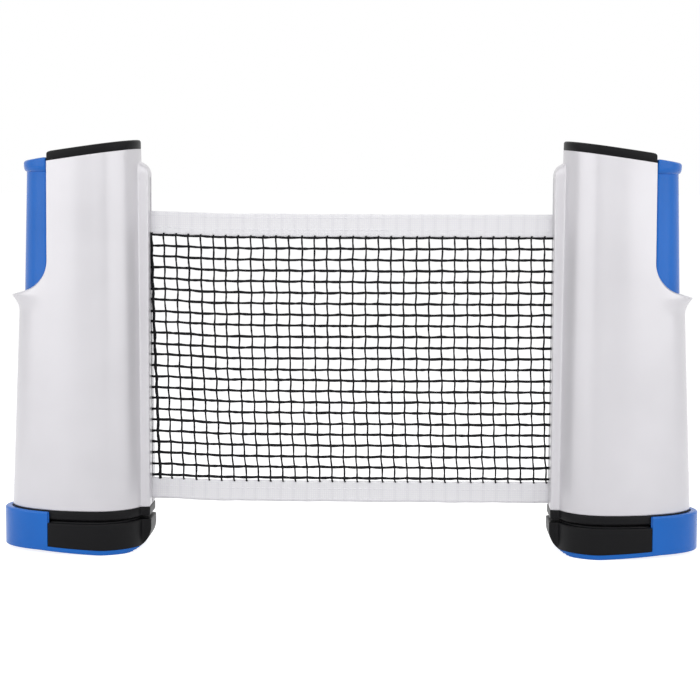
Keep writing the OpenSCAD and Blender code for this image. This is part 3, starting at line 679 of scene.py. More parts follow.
def shoe_wall(side):
    """The wall that the shoe wraps round the housing's foot, down to the underside."""
    front, rim_round, rim_lean, crest_in, inner_foot = BLOCK_X - 0.25, 1.2, 0.2, 0.45, 0.9
    sections, count = [], 96
    first = angle_at(lambda a: low_radius(a, FULL), front)
    straight = [(z, inset, 0) for z, inset in SHOE_FOOT]
    straight += [(z, 0.0, 0) for z in (1.6, FLOOR, 5, 8, 11, 14, 17, RIM - rim_round)]
    for n in range(count + 1):
        a = lerp(first, 2 * math.pi - first, n / count)
        half = 1 if a > math.pi else -1
        m = 2 * math.pi - a if a > math.pi else a
        clear = plan_radius(m, BASE, -SHOE_GAP)
        crest = crest_in * (low_radius(m, FULL) - clear)
        rim = [(RIM - rim_round + rim_round * math.sin(t), crest * (1 - math.cos(t)),
                rim_lean * (1 - math.cos(t))) for t in quarter(7)[1:]]
        outer, inner = [], []
        for z, inset, back in straight + rim:
            lifted = max(0, inner_foot - z)
            for row, d, lift in ((outer, low_radius(m, FULL, inset), 0), (inner, clear + back, lifted)):
                x = front if n in (0, count) else EYE + d * math.cos(m)
                low = underside(x) * clamp((RIM - z) / (RIM - FLOOR))
                row.append((x, half * d * math.sin(m), z + low + lift))
        sections.append((outer, inner))
    return new_object(f"{side}_wrap", *wall_sweep(sections), side)


def jaw_shoe(side):
    """The shoe: its plate with the screws' wells, and the wall round the housing's foot."""
    rows = SHOE_FOOT + [(1.2, 0.0), (1.8, 0.0), (FLOOR, 0.0)]
    plate = new_object(f"{side}_jaw_shoe_skin", *loft([low_ring(z, i) for z, i in rows]), side)
    wells = [rod("well", (x, 0), "z", SCREW_HEAD / 2 + HEAD_FIT, -1, HEAD_SEAT + underside(x), side)
             for x in SHOE_SCREWS]
    return join(f"{side}_jaw_shoe_skin", [cut(plate, join("wells", wells)), shoe_wall(side)])


def grip_room(reach_in, reach_out, half, start, from_, to, side):
    """The room of a grip in its jaw: an oval cut flat at both ends."""
    row = []
    for i in range(61):
        x = lerp(start, GRIP_END, i / 60)
        row.append((x, half * math.sqrt(1 - (x / (reach_in if x > 0 else reach_out)) ** 2)))
    plan = row + [(x, -y) for x, y in reversed(row)]
    return new_object("room", *loft([[(x, y, z) for x, y in plan] for z in (from_, to)]), side)


def block_ring(z, inset):
    """Plan of the lower block, cut flat toward the shoe."""
    last = angle_at(lambda a: low_radius(a, z, inset), BLOCK_X + inset * 0.6)
    angles = [a for a in LOW_ANGLES if a < NOSE_TO] + [lerp(NOSE_TO, last, i / 60) for i in range(61)]
    front = [from_eye(a, low_radius(a, z, inset)) for a in angles]
    plan = front + [(x, -y) for x, y in reversed(front[1:])]
    return [(x, y, z + underside(x) * (LOW_TOP - z) / (LOW_TOP - FLOOR)) for x, y in plan]


def jaw_block(side):
    """The lower block, with the room for its grip."""
    rows = [(FLOOR, 0.35), (FLOOR + 0.12, 0.1), (FLOOR + 0.35, 0.0)]
    rows += [(z, 0.0) for z in (3.4, 4.2, 5, 6, 7, 8, 9, 10, 11, 12, 13, 14.2)] + rounded_top(LOW_TOP, 0.6, 4)
    body = new_object(f"{side}_jaw_block_skin", *loft([block_ring(z, i) for z, i in rows]), side)
    room = GRIP_ROOM + SHOE_SIDE
    return cut(body, grip_room(IN_REACH - room, OUT_REACH + SHOE_REACH - room, HALF - GRIP_ROOM,
                               BLOCK_X + GRIP_ROOM, BLOCK_TOP, BASE, side))


def upper_jaw(side):
    """The fixed jaw: a plate with a hole for the bar, a step for the shoe and the room for its grip."""
    rows = [(JAW_FOOT, 0.55), (JAW_FOOT + 0.12, 0.25), (JAW_FOOT + 0.4, 0.05), (JAW_FOOT + 0.8, 0.0),
            (BASE - 0.5, 0.0), (BASE - 0.1, 0.12), (BASE, 0.4)]
    rings = []
    for z, inset in rows:
        front = [from_eye(a, plan_radius(a, BASE, inset)) for a in LOW_ANGLES]
        rings.append([(x, y, z) for x, y in whole(front)])
    plate = new_object(f"{side}_upper_jaw_skin", *loft(rings), side)
    # How far the cutters reach past the plate in height, at its outer end and at its sides
    past, past_end, past_side = 2, 80, 50
    bar_half = BAR_W / 2 + BAR_ROOM
    cutters = [
        box("hole", (BAR_X - BAR_T - BAR_ROOM, -bar_half, JAW_FOOT - past),
            (BAR_X + BAR_ROOM, bar_half, BASE + past), side),
        box("step", (-past_end, -past_side, JAW_FOOT - past), (WINDOW, past_side, JAW), side),
        grip_room(IN_REACH - GRIP_ROOM, OUT_REACH - GRIP_ROOM, HALF - GRIP_ROOM, WINDOW + GRIP_ROOM,
                  JAW_FOOT - past, JAW, side),
    ]
    for cutter in cutters:
        plate = cut(plate, cutter)
    return plate


# ---- Node trees ----

def add(tree, kind, inputs=(), **settings):
    """Adds a node with its settings, values and links, and gives the node."""
    node = tree.nodes.new(kind)
    for key, value in settings.items():
        setattr(node, key, value)
    for key, value in dict(inputs).items():
        if isinstance(value, bpy.types.NodeSocket):
            tree.links.new(value, node.inputs[key])
        else:
            node.inputs[key].default_value = value
    return node


def geometry_tree(name, inputs):
    """An empty Geometry Nodes tree with named inputs; the first is its geometry."""
    tree = bpy.data.node_groups.new(name, "GeometryNodeTree")
    tree.interface.new_socket("Geometry", in_out="OUTPUT", socket_type="NodeSocketGeometry")
    for key, kind in inputs:
        tree.interface.new_socket(key, in_out="INPUT", socket_type="NodeSocket" + kind)
    return tree, tree.nodes.new("NodeGroupInput").outputs


def end_tree(tree, geometry, material):
    """Realizes the instances, sets the material and leaves the tree."""
    real = add(tree, "GeometryNodeRealizeInstances", {"Geometry": geometry})
    dressed = add(tree, "GeometryNodeSetMaterial", {"Geometry": real.outputs[0], "Material": material})
    add(tree, "NodeGroupOutput", {"Geometry": dressed.outputs[0]})
    return tree


def wire_tree():
    """A round wire along each path of edges; the attribute thick scales its radius."""
    tree, given = geometry_tree("wire_on_paths", [
        ("Paths", "Geometry"), ("Radius", "Float"), ("Sides", "Int"), ("Material", "Material")])
    curve = add(tree, "GeometryNodeMeshToCurve", {"Mesh": given["Paths"]})
    thick = add(tree, "GeometryNodeInputNamedAttribute", {"Name": "thick"}, data_type="FLOAT")
    ring = add(tree, "GeometryNodeCurvePrimitiveCircle", {
        "Resolution": given["Sides"], "Radius": given["Radius"]})
    tube = add(tree, "GeometryNodeCurveToMesh", {
        "Curve": curve.outputs[0], "Profile Curve": ring.outputs[0], "Scale": thick.outputs[0],
        "Fill Caps": True})
    return end_tree(tree, tube.outputs[0], given["Material"])


def scatter_tree():
    """A copy of one piece on each point; the attributes turn and grow set how each lies."""
    tree, given = geometry_tree("pieces_on_points", [
        ("Points", "Geometry"), ("Piece", "Object"), ("Scale", "Float"), ("Material", "Material")])
    piece = add(tree, "GeometryNodeObjectInfo", {"Object": given["Piece"]})
    turn = add(tree, "GeometryNodeInputNamedAttribute", {"Name": "turn"}, data_type="FLOAT_VECTOR")
    grow = add(tree, "GeometryNodeInputNamedAttribute", {"Name": "grow"}, data_type="FLOAT")
    size = add(tree, "ShaderNodeMath", {0: grow.outputs[0], 1: given["Scale"]}, operation="MULTIPLY")
    points = add(tree, "GeometryNodeMeshToPoints", {"Mesh": given["Points"]})
    copies = add(tree, "GeometryNodeInstanceOnPoints", {
        "Points": points.outputs[0], "Instance": piece.outputs["Geometry"],
        "Rotation": turn.outputs[0], "Scale": size.outputs[0]})
    return end_tree(tree, copies.outputs[0], given["Material"])


def apply_tree(obj, tree, values, angle=40):
    """Gives an object a tree's result as its plain mesh."""
    mod = obj.modifiers.new(tree.name, "NODES")
    mod.node_group = tree
    for item in tree.interface.items_tree:
        if item.item_type == "SOCKET" and item.in_out == "INPUT" and item.name in values:
            mod[item.identifier] = values[item.name]
    clean(settle(obj), angle)
    return obj


def paths_object(name, paths):
    """An object of bare edges from paths of ((x, y, z), thickness) points in millimetres."""
    verts, edges, thick = [], [], []
    for path in paths:
        start = len(verts)
        for point, scale in path:
            verts.append(Vector(point) * MM)
            thick.append(scale)
        edges += [(start + i, start + i + 1) for i in range(len(path) - 1)]
    mesh = bpy.data.meshes.new(name)
    mesh.from_pydata(verts, edges, [])
    mesh.attributes.new("thick", "FLOAT", "POINT").data.foreach_set("value", thick)
    return linked(name, mesh)


def points_object(name, points):
    """An object of bare points from (place in millimetres, turn, scale)."""
    mesh = bpy.data.meshes.new(name)
    mesh.from_pydata([Vector(p) * MM for p, _, _ in points], [], [])
    turns = [c for _, turn, _ in points for c in turn]
    mesh.attributes.new("turn", "FLOAT_VECTOR", "POINT").data.foreach_set("vector", turns)
    mesh.attributes.new("grow", "FLOAT", "POINT").data.foreach_set("value", [g for _, _, g in points])
    return linked(name, mesh)


WIRE, SCATTER = wire_tree(), scatter_tree()


# ---- Materials ----

# How far apart the slow drifts of tone in a moulding lie, in millimetres
CLOUD_MM = 30
# The twist of a thread, and the cells of the mesh where it is wound
TWIST_MM, CELL_MM = 0.8, 5.5


def colour(hex_text):
    """Linear colour from an sRGB hex value."""
    out = []
    for i in (0, 2, 4):
        c = int(hex_text[i:i + 2], 16) / 255
        out.append(c / 12.92 if c <= 0.04045 else ((c + 0.055) / 1.055) ** 2.4)
    return (*out, 1.0)


def per_mm(size_mm):
    """Texture scale at which a pattern repeats about every so many millimetres."""
    return 1 / (size_mm * MM)


def finish_of(name, **shader):
    """A new material with a Principled shader, and its object coordinates."""
    mat = bpy.data.materials.new(name)
    mat.use_nodes = True
    tree = mat.node_tree
    surface = tree.nodes["Principled BSDF"]
    for key, value in shader.items():
        surface.inputs[key.replace("_", " ")].default_value = value
    where = add(tree, "ShaderNodeTexCoord").outputs["Object"]
    return mat, tree, surface, where


def drift(tree, noise, low, high, soft=0.2):
    """A colour that goes from a low to a high tone as a noise passes its middle, within soft of it."""
    steep = add(tree, "ShaderNodeMapRange", {"Value": noise, "From Min": 0.5 - soft, "From Max": 0.5 + soft})
    tone = add(tree, "ShaderNodeMix", {0: steep.outputs[0], 6: colour(low), 7: colour(high)},
               data_type="RGBA")
    return tone.outputs[2]


def dress(tree, surface, tone, height, strength, depth_mm):
    """Gives a surface its colour, and a relief of a depth in millimetres."""
    relief = add(tree, "ShaderNodeBump", {"Height": height, "Strength": strength, "Distance": depth_mm * MM})
    tree.links.new(tone, surface.inputs["Base Color"])
    tree.links.new(relief.outputs[0], surface.inputs["Normal"])


def moulded(name, low, high, roughness, grain_mm=0.5, grain=0.04, **more):
    """Injection-moulded plastic: slow drifts of tone, and a fine skin that breaks up the gloss."""
    # The grain of a real skin is too fine to show, so it's drawn as coarse as it needs to show
    mat, tree, surface, where = finish_of(name, Roughness=roughness, **more)
    cloud = add(tree, "ShaderNodeTexNoise", {"Vector": where, "Scale": per_mm(CLOUD_MM), "Detail": 2.0})
    tone = drift(tree, cloud.outputs[0], low, high)
    skin = add(tree, "ShaderNodeTexNoise", {"Vector": where, "Scale": per_mm(grain_mm), "Detail": 2.0})
    dress(tree, surface, tone, skin.outputs[0], grain, 0.05)
    return mat


def pearl_plastic():
    """Pearl-white ABS: mica in the plastic gives a soft satin glow under a smooth moulded skin."""
    return moulded("pearl_white_abs", "D8D6DA", "DDDBDF", 0.32, Metallic=0.2, Coat_Weight=0.2,
                   Coat_Roughness=0.12)


def black_plastic():
    """Satin black ABS with a fine spark-eroded skin, so its gloss is soft and its black deep."""
    return moulded("satin_black_abs", "0B0B0D", "101012", 0.4, grain_mm=0.7, grain=0.12,
                   Specular_IOR_Level=0.12)


def blue_plastic():
    """Glossy blue ABS from a polished mould, so its highlights are sharp and its blue stays full."""
    return moulded("glossy_blue_abs", "1069C6", "186FCF", 0.25, Specular_IOR_Level=0.25)


def grip_rubber():
    """Moulded rubber, matt and very slightly dusty."""
    return moulded("grip_rubber", "1C1C1F", "262629", 0.72, grain_mm=0.9, grain=0.3)


def bare_metal(name, low, high, roughness, stretch, line_mm):
    """Bare metal with fine lines from how it was drawn, turned or rolled."""
    # Real lines are too fine to show, so they're drawn about a millimetre apart
    mat, tree, surface, where = finish_of(name, Metallic=1.0, Roughness=roughness)
    lined = add(tree, "ShaderNodeMapping", {"Vector": where, "Scale": stretch})
    lines = add(tree, "ShaderNodeTexNoise", {
        "Vector": lined.outputs[0], "Scale": per_mm(line_mm), "Detail": 3.0}).outputs[0]
    dress(tree, surface, drift(tree, lines, low, high, 0.15), lines, 0.12, 0.03)
    return mat


def natural_nylon():
    """Natural nylon, a waxy off-white that lets a little light in."""
    return moulded("natural_nylon", "D9D8CF", "E2E1D9", 0.5, Subsurface_Weight=0.1, Subsurface_Scale=0.002)


def net_thread():
    """Twisted black polyester thread with a dull, slightly fuzzy look."""
    mat, tree, surface, where = finish_of("net_thread", Roughness=0.7, Specular_IOR_Level=0.12)
    fibre = add(tree, "ShaderNodeTexNoise", {"Vector": where, "Scale": per_mm(TWIST_MM), "Detail": 3.0})
    fibre = fibre.outputs[0]
    dress(tree, surface, drift(tree, fibre, "101012", "1E1E21"), fibre, 0.5, 0.1)
    return mat


# Width of a woven tape's yarns as they are drawn
YARN_MM = 1.1


def wave_scale(pitch_mm):
    """Scale of a Wave texture on coordinates in millimetres, for bands that repeat at a pitch."""
    return math.pi / (10 * pitch_mm)


def woven_tape():
    """White woven polyester tape. The real yarns are finer than 0.5 mm, so they're drawn at YARN_MM."""
    mat, tree, surface, _ = finish_of("woven_tape", Roughness=0.82, Sheen_Weight=0.3)
    flat = add(tree, "ShaderNodeUVMap", uv_map="cloth").outputs[0]
    weft, warp = (
        add(tree, "ShaderNodeTexWave", {"Vector": flat, "Scale": wave_scale(YARN_MM), "Distortion": 0.6},
            bands_direction=along).outputs["Fac"] for along in "XY")
    weave = add(tree, "ShaderNodeMath", {0: weft, 1: warp}, operation="MULTIPLY").outputs[0]
    cloth = add(tree, "ShaderNodeMix", {0: weave, 6: colour("F8F7FB"), 7: colour("FFFFFF")}, data_type="RGBA")
    # The mesh's threads show through the cloth as faint upright lines
    thread = add(tree, "ShaderNodeTexWave", {
        "Vector": flat, "Scale": wave_scale(COLUMN_PITCH), "Distortion": 1.2, "Detail Scale": 0.4,
        "Phase Offset": math.pi / 2 - 2 * math.pi * COLUMN_START / COLUMN_PITCH}, bands_direction="X")
    line = add(tree, "ShaderNodeMath", {0: thread.outputs["Fac"], 1: 5.0}, operation="POWER")
    faint = add(tree, "ShaderNodeMath", {0: line.outputs[0], 1: 0.14}, operation="MULTIPLY")
    tone = add(tree, "ShaderNodeMix", {0: faint.outputs[0], 6: cloth.outputs[2], 7: colour("CFCDD6")},
               data_type="RGBA")
    dress(tree, surface, tone.outputs[2], weave, 0.35, 0.08)
    return mat


def rolled_net():
    """The wound net: white tape at both edges, and dark layers of mesh between."""
    mat, tree, surface, where = finish_of("rolled_net", Roughness=0.85)
    height = add(tree, "ShaderNodeSeparateXYZ", {"Vector": where}).outputs["Z"]
    over_foot = add(tree, "ShaderNodeMath", {0: height, 1: (NET_FOOT + TAPE_W) * MM},
                    operation="GREATER_THAN")
    under_top = add(tree, "ShaderNodeMath", {0: height, 1: (NET_TOP - TAPE_W) * MM}, operation="LESS_THAN")
    mesh_band = add(tree, "ShaderNodeMath", {0: over_foot.outputs[0], 1: under_top.outputs[0]},
                    operation="MULTIPLY")
    cells = add(tree, "ShaderNodeTexVoronoi", {"Vector": where, "Scale": per_mm(CELL_MM)})
    cells = cells.outputs["Distance"]
    threads = add(tree, "ShaderNodeMix", {0: cells, 6: colour("26262A"), 7: colour("55555A")},
                  data_type="RGBA")
    tone = add(tree, "ShaderNodeMix", {0: mesh_band.outputs[0], 6: colour("DEDDE4"), 7: threads.outputs[2]},
               data_type="RGBA")
    dress(tree, surface, tone.outputs[2], cells, 0.4, 0.3)
    return mat


MATERIALS = {
    "pearl": pearl_plastic(), "black": black_plastic(), "blue": blue_plastic(), "rubber": grip_rubber(),
    "spring": bare_metal("drawn_spring_steel", "9A9EA5", "B4B8BE", 0.3, (1, 1, 6), 0.6),
    "turned": bare_metal("turned_steel", "8C9096", "A3A7AD", 0.28, (1, 1, 12), 1.2),
    "bar": bare_metal("rolled_steel_strip", "8E9197", "A0A4AA", 0.36, (8, 8, 1), 1.0),
    "tube": bare_metal("drawn_aluminium", "B3B6BC", "C6C9CE", 0.32, (1, 1, 10), 1.0),
    "nylon": natural_nylon(), "thread": net_thread(), "tape": woven_tape(), "roll": rolled_net(),
}


def paint(obj, key):
    """Gives a piece its finish."""
    obj.data.materials.clear()
    obj.data.materials.append(MATERIALS[key])
    return obj


# ---- Small parts ----

def screw_piece():
    """A pan-head cross screw along +Z, its head below the seat at zero."""
    radius, steps, shank, tip = SCREW_HEAD / 2, 24, 7.0, 8.6
    rows = [(0.2, -HEAD_H), (radius - 1.0, -HEAD_H + 0.08), (radius - 0.35, -HEAD_H + 0.35),
            (radius, -0.55), (radius, -0.05), (radius - 0.05, 0.0), (SCREW_D / 2, 0.0), (SCREW_D / 2, shank),
            (0.3, tip)]
    made = new_object("screw_piece", *loft([[(u, v, z) for u, v in circle(r, steps)] for r, z in rows]))
    wide, thin, deep = SCREW_HEAD * 0.3, 0.42, 0.85
    for a, b in ((wide, thin), (thin, wide)):
        cut(made, box("recess", (-a, -b, -HEAD_H - 1), (a, b, -HEAD_H + deep)))
    return made


def knot_piece():
    """A small flattened bead of thread."""
    mesh = bpy.data.meshes.new("knot_piece")
    bm = bmesh.new()
    bmesh.ops.create_icosphere(bm, subdivisions=1, radius=1.0)
    bmesh.ops.scale(bm, verts=bm.verts, vec=(1.25, 0.9, 1.0))
    bm.to_mesh(mesh)
    bm.free()
    return linked("knot_piece", mesh)


def stitch_piece():
    """One stitch, a short rounded bar along X, a metre long, which the scatter brings to size."""
    metre = 1 / MM
    profile = ((-0.5, 0.05), (-0.42, 0.1), (-0.2, 0.13), (0.2, 0.13), (0.42, 0.1), (0.5, 0.05))
    return new_object("stitch_piece", *loft([[(x * metre, u, v) for u, v in circle(r * metre, 6)]
                                             for x, r in profile]))


def clamp_spring(side):
    """Path of a compression spring on its rod, with a closed turn at each end."""
    # The coil's radius, the turns that lie closed at each end, and their pitch
    radius, dead, closed = (SPRING_D - SPRING_WIRE) / 2, 1.15, SPRING_WIRE * 1.02
    low, high = SEAT + SPRING_WIRE / 2, LUG - SPRING_WIRE / 2
    open_pitch = (high - low - 2 * dead * closed) / (SPRING_TURNS - 2 * dead)
    path, steps = [], SPRING_TURNS * 22
    for i in range(steps + 1):
        n = SPRING_TURNS * i / steps
        if n < dead:
            z = low + closed * n
        elif n > SPRING_TURNS - dead:
            z = high - closed * (SPRING_TURNS - n)
        else:
            z = low + dead * closed + (n - dead) * open_pitch
        a = 2 * math.pi * n
        path.append(((across(side, ROD_X + radius * math.cos(a)), radius * math.sin(a), z), 1.0))
    return paths_object(f"{side}_clamp_spring_coil", [path])


def wound_net(side):
    """The net on its roller, a strip wound in a spiral."""
    # Turns, steps in each, half the strip's thickness, and the angle at which it starts on the tube
    turns, steps, layer, start = 8, 52, 0.33, math.radians(47)
    inner, outer = TUBE_D / 2 + 0.45, ROLL_D / 2 - 0.35
    strip = ((-layer, NET_FOOT), (layer, NET_FOOT), (layer, NET_TOP), (-layer, NET_TOP))
    sections = []
    total = turns * steps
    for i in range(total + 1):
        # Each layer lies a little unevenly on the one below
        r = lerp(inner, outer, i / total) + 0.12 * math.sin(i * 0.9)
        a = 2 * math.pi * i / steps + start
        c, s = math.cos(a), -math.sin(a)
        sections.append([(ROLLER_X + (r + d) * c, (r + d) * s, z) for d, z in strip])
    return new_object(f"{side}_wound_net", *loft(sections), side)


# ---- The net: its line across both posts, and what hangs on it ----

# Where the net bends toward its roll, from the post's axis, and how softly
BEND_X, BEND_EASE = 24.3, 1.5
BEND = POST - BEND_X
# The stretch from the bend to the roll, which the net meets at its back
TAIL_R = ROLL_D / 2 + TAPE_T / 2 + 0.3
TAIL_ANGLE = math.pi / 2 - math.acos(TAIL_R / (BEND_X - ROLLER_X))
TAIL = math.hypot(BEND_X - ROLLER_X - TAIL_R * math.sin(TAIL_ANGLE), TAIL_R * math.cos(TAIL_ANGLE))
NET_END = BEND + TAIL
# Share of the net's droop that its tapes follow
TAPE_HANG = 0.7


def net_line(s, off=0.0):
    """Plan place at a distance along the net from its middle, moved off it to the back."""
    side = 1 if s > 0 else -1
    d = abs(s)
    over = clamp((d - BEND + BEND_EASE) / (2 * BEND_EASE))
    angle = TAIL_ANGLE * ease(over)
    if d < BEND - BEND_EASE:
        x, y = d, 0.0
    elif d > BEND + BEND_EASE:
        x = BEND + (d - BEND) * math.cos(TAIL_ANGLE)
        y = (d - BEND) * math.sin(TAIL_ANGLE)
    else:
        x = lerp(BEND - BEND_EASE, BEND + BEND_EASE * math.cos(TAIL_ANGLE), over)
        x += (1 - math.cos(TAIL_ANGLE)) * BEND_EASE * over * (1 - over)
        y = BEND_EASE * math.sin(TAIL_ANGLE) * over * over
    return side * (x - off * math.sin(angle)), y + off * math.cos(angle)


def wander(rng, count, size):
    """A slow random walk that stays near zero."""
    out, v = [], 0.0
    for _ in range(count):
        v = 0.72 * v + rng.uniform(-size, size)
        out.append(v)
    return out


def droop(s):
    """How far the net hangs below a straight line: a slight sag, and a pull up at the left slot."""
    sag, half_span, pull, pull_from, pull_run = 0.3, 100, 1.4, -102, 42
    return (sag * max(0.0, 1 - (s / half_span) ** 2)
            - pull * (1 - ease(clamp((s - pull_from) / pull_run))))


# How far the rows and the columns lie off the net's plane, and the columns' ends at the tapes' front
ROW_OFF, COLUMN_OFF, COLUMN_END_OFF = 0.12, -0.1, -0.75
# A thread's radius, and by how much rows, columns and the edge cord in the left slot are thicker
THREAD_R, ROW_THICK, COLUMN_THICK, EDGE_CORD_THICK = 0.4, (1.45, 2.05), 1.2, 2.0
# The number of the column that is the edge cord, and a knot's radius
EDGE_CORD, KNOT_R = -1, 0.8
# How unevenly thick a column is, how far a thread bows between knots, and the softness of a row's steps
UNEVEN, THREAD_BOW, STEP_SOFT = (0.85, 1.15), 0.1, 0.6
# The columns' lean below: at the left slot, the columns over which it fades, and what goes off it
LEAN, LEAN_FADE, LEAN_OFF = 4.2, 7.5, 0.6
# The columns' curl near the lower tape, what goes off it, and the columns over which it sets in
CURL, CURL_OFF, CURL_RUN = 2.9, 1.05, 5
# How far a knot pulls its threads along the net and in height
PULL_ALONG, PULL_UP = 0.22, 0.16


class NetField:
    """Where every crossing of the threads lies, in distance along the net and height."""

    def __init__(self, seed=7):
        rng = random.Random(seed)
        count = LAST_COLUMN - FIRST_COLUMN + 1
        self.row_shift = [wander(rng, count, 0.12) for _ in range(ROWS + 2)]
        self.column_shift = [wander(rng, ROWS + 2, 0.13) for _ in range(count)]
        self.kink = [[rng.uniform(0.4, 1.0) for _ in range(count)] for _ in range(ROWS + 2)]

    def crossing(self, column, row):
        """Where a column meets a row; row -1 and row ROWS are the column's ends inside the tapes."""
        i, j = column - FIRST_COLUMN, row + 1
        z = clamp(ROW_FOOT + row * ROW_PITCH, MESH_FOOT - TUCK, MESH_TOP + TUCK)
        down = 1 - clamp((z - MESH_FOOT) / (MESH_TOP - MESH_FOOT))
        # Toward the lower tape the columns lean to the right, most at the left slot
        lean = LEAN * math.exp(-column / LEAN_FADE) - LEAN_OFF
        curl = (CURL * down ** 2.8 - CURL_OFF) * clamp(column / CURL_RUN)
        s = COLUMN_START + column * COLUMN_PITCH + lean * down ** 1.2 + curl + self.column_shift[i][j]
        # A knot pulls its threads from side to side by turns
        s += PULL_ALONG * self.kink[j][i] * (1 if row % 2 else -1)
        if 0 <= row < ROWS:
            # The rows next to a tape lie as straight as the tape
            inward = clamp(min(row, ROWS - 1 - row) / 3)
            z += lerp(0.3, 1.0, inward) * self.row_shift[j][i]
            z += PULL_UP * self.kink[j][i] * (1 if (column + row) % 2 else -1)
            z -= lerp(TAPE_HANG, 1.0, inward) * droop(s)
        else:
            z -= TAPE_HANG * droop(s)
        return clamp(s, -NET_END + 0.5, NET_END - 0.5), z


def row_path(nodes, rng):
    """Path of one row through its crossings, with a sag in each cell."""
    path = [(-NET_END + 0.3, nodes[0][1])]
    for (s0, z0), (s1, z1) in zip(nodes, nodes[1:]):
        for t in (0.0, 0.2, 0.5, 0.8):
            z = lerp(z0, z1, lerp(t, ease(t), STEP_SOFT)) - THREAD_BOW * math.sin(math.pi * t)
            path.append((lerp(s0, s1, t), z))
    path += [nodes[-1], (NET_END - 0.3, nodes[-1][1])]
    return [((*net_line(s, ROW_OFF), z), rng.uniform(*ROW_THICK)) for s, z in path]


def column_path(nodes, thick, rng):
    """Path of one column through its crossings, bowed from cell to cell."""
    path = []
    for k, ((s0, z0), (s1, z1)) in enumerate(zip(nodes, nodes[1:])):
        bow = THREAD_BOW * (1 if k % 2 else -1)
        for t in (0.0, 0.25, 0.5, 0.75):
            path.append((lerp(s0, s1, t) + bow * math.sin(math.pi * t), lerp(z0, z1, t)))
    path.append(nodes[-1])
    wire = []
    for s, z in path:
        # Each end comes to the front of its tape
        front = clamp((abs(z - (MESH_FOOT + MESH_TOP) / 2) - (MESH_TOP - MESH_FOOT) / 2 + 2) / 2)
        off = lerp(COLUMN_OFF, COLUMN_END_OFF, front)
        wire.append(((*net_line(s, off), z), thick * rng.uniform(*UNEVEN)))
    return wire


def net_threads():
    """Paths of the rows, and for each column its path and its knots."""
    field = NetField()
    rng = random.Random(3)
    columns = range(FIRST_COLUMN, LAST_COLUMN + 1)
    rows = [row_path([field.crossing(column, row) for column in columns], rng) for row in range(ROWS)]
    uprights = []
    for column in columns:
        nodes = [field.crossing(column, row) for row in range(-1, ROWS + 1)]
        wire = column_path(nodes, EDGE_CORD_THICK if column == EDGE_CORD else COLUMN_THICK, rng)
        knots = [((*net_line(s), z), (0.0, 0.35 * (1 if row % 2 else -1), 0.0), 1.0)
                 for row, (s, z) in enumerate(nodes[1:-1])]
        uprights.append((wire, knots))
    return rows, uprights


def tape_band(name, foot, top):
    """A woven tape along the net, a closed strip with soft edges and a slight ripple."""
    # The rounding of an edge, and the height of its hem, where the tape is thickest
    half_t, edge, hem = TAPE_T / 2, 0.35, 1.4
    rng = random.Random(len(name))
    phases = [rng.uniform(0, 6.28) for _ in range(6)]
    profile = [(half_t - edge, foot), (half_t, foot + edge), (half_t * 0.9, foot + hem),
               (half_t * 0.8, lerp(foot, top, 0.5)),
               (half_t * 0.9, top - hem), (half_t, top - edge), (half_t - edge, top)]
    profile += [(-w, z) for w, z in reversed(profile)]
    steps = 260
    rings = []
    for s in spread(-NET_END, NET_END, steps):
        # Two ripples to front and back, which die away where the slots hold the tape
        ripple = 0.14 * math.sin(s / 9 + phases[0]) + 0.1 * math.sin(s / 3.7 + phases[1])
        ripple *= clamp((BEND - 6 - abs(s)) / 12)
        ring = []
        for w, z in profile:
            up = (z - foot) / (top - foot)
            wave = ripple * (1 if up > 0.5 else 0.7) + 0.08 * math.sin(s / 5 + phases[2]) * (up - 0.5)
            x, y = net_line(s, w + wave * 0.6)
            lift = 0.09 * math.sin(s / 6.5 + phases[3]) + 0.05 * math.sin(s / 2.3 + phases[4])
            hang = TAPE_HANG * droop(s) * clamp((BEND - abs(s)) / 2)
            ring.append((x, y, z - hang + lift * clamp((BEND - 4 - abs(s)) / 8)))
        rings.append(ring)
    obj = new_object(name, *loft(rings), angle=50)
    uv = obj.data.uv_layers.new(name="cloth")
    for loop in obj.data.loops:
        co = obj.data.vertices[loop.vertex_index].co
        uv.data[loop.index].uv = (co.x / MM, co.z / MM)
    return obj


def stitch_row(name, heights, length=1.7, pitch=2.6):
    """Places of rows of stitches on both faces of a tape."""
    points = []
    count = int(2 * (BEND - 2) / pitch)
    for i in range(count):
        s = (i - (count - 1) / 2) * pitch
        for off in (-TAPE_T / 2 + 0.04, TAPE_T / 2 - 0.04):
            x, y = net_line(s, off)
            points += [((x, y, height - TAPE_HANG * droop(s)), (0.0, 0.0, 0.0), length)
                       for height in heights]
    return points_object(name, points)


# ---- Dress both posts ----

def shown(obj, key, body, *nodes):
    """Paints a made piece, puts it in place of its CAD nodes and lets it move with its body."""
    paint(obj, key)
    if nodes:
        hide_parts(*nodes)
    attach(obj, body)
    return obj


SCREW = screw_piece()
KNOT = knot_piece()
STITCH = stitch_piece()


def screws(name, side, places, turn, body, node):
    """Real screws on their places, as one mesh."""
    points = [((across(side, x), y, z), turn, 1.0) for x, y, z in places]
    made = apply_tree(points_object(name, points), SCATTER,
                      {"Piece": SCREW, "Scale": 1.0, "Material": MATERIALS["turned"]})
    return shown(made, "turned", body, node)


# The wells of the head's screws: radius of the bore and of its tube, and the tube's end in the wall
WELL_R, BOSS_R, WELL_END = SCREW_HEAD / 2 + HEAD_FIT, 4.2, 21.4
# Reach of the cutter that takes a well's bore through the wall
BORE_FROM, BORE_TO = 16, 40


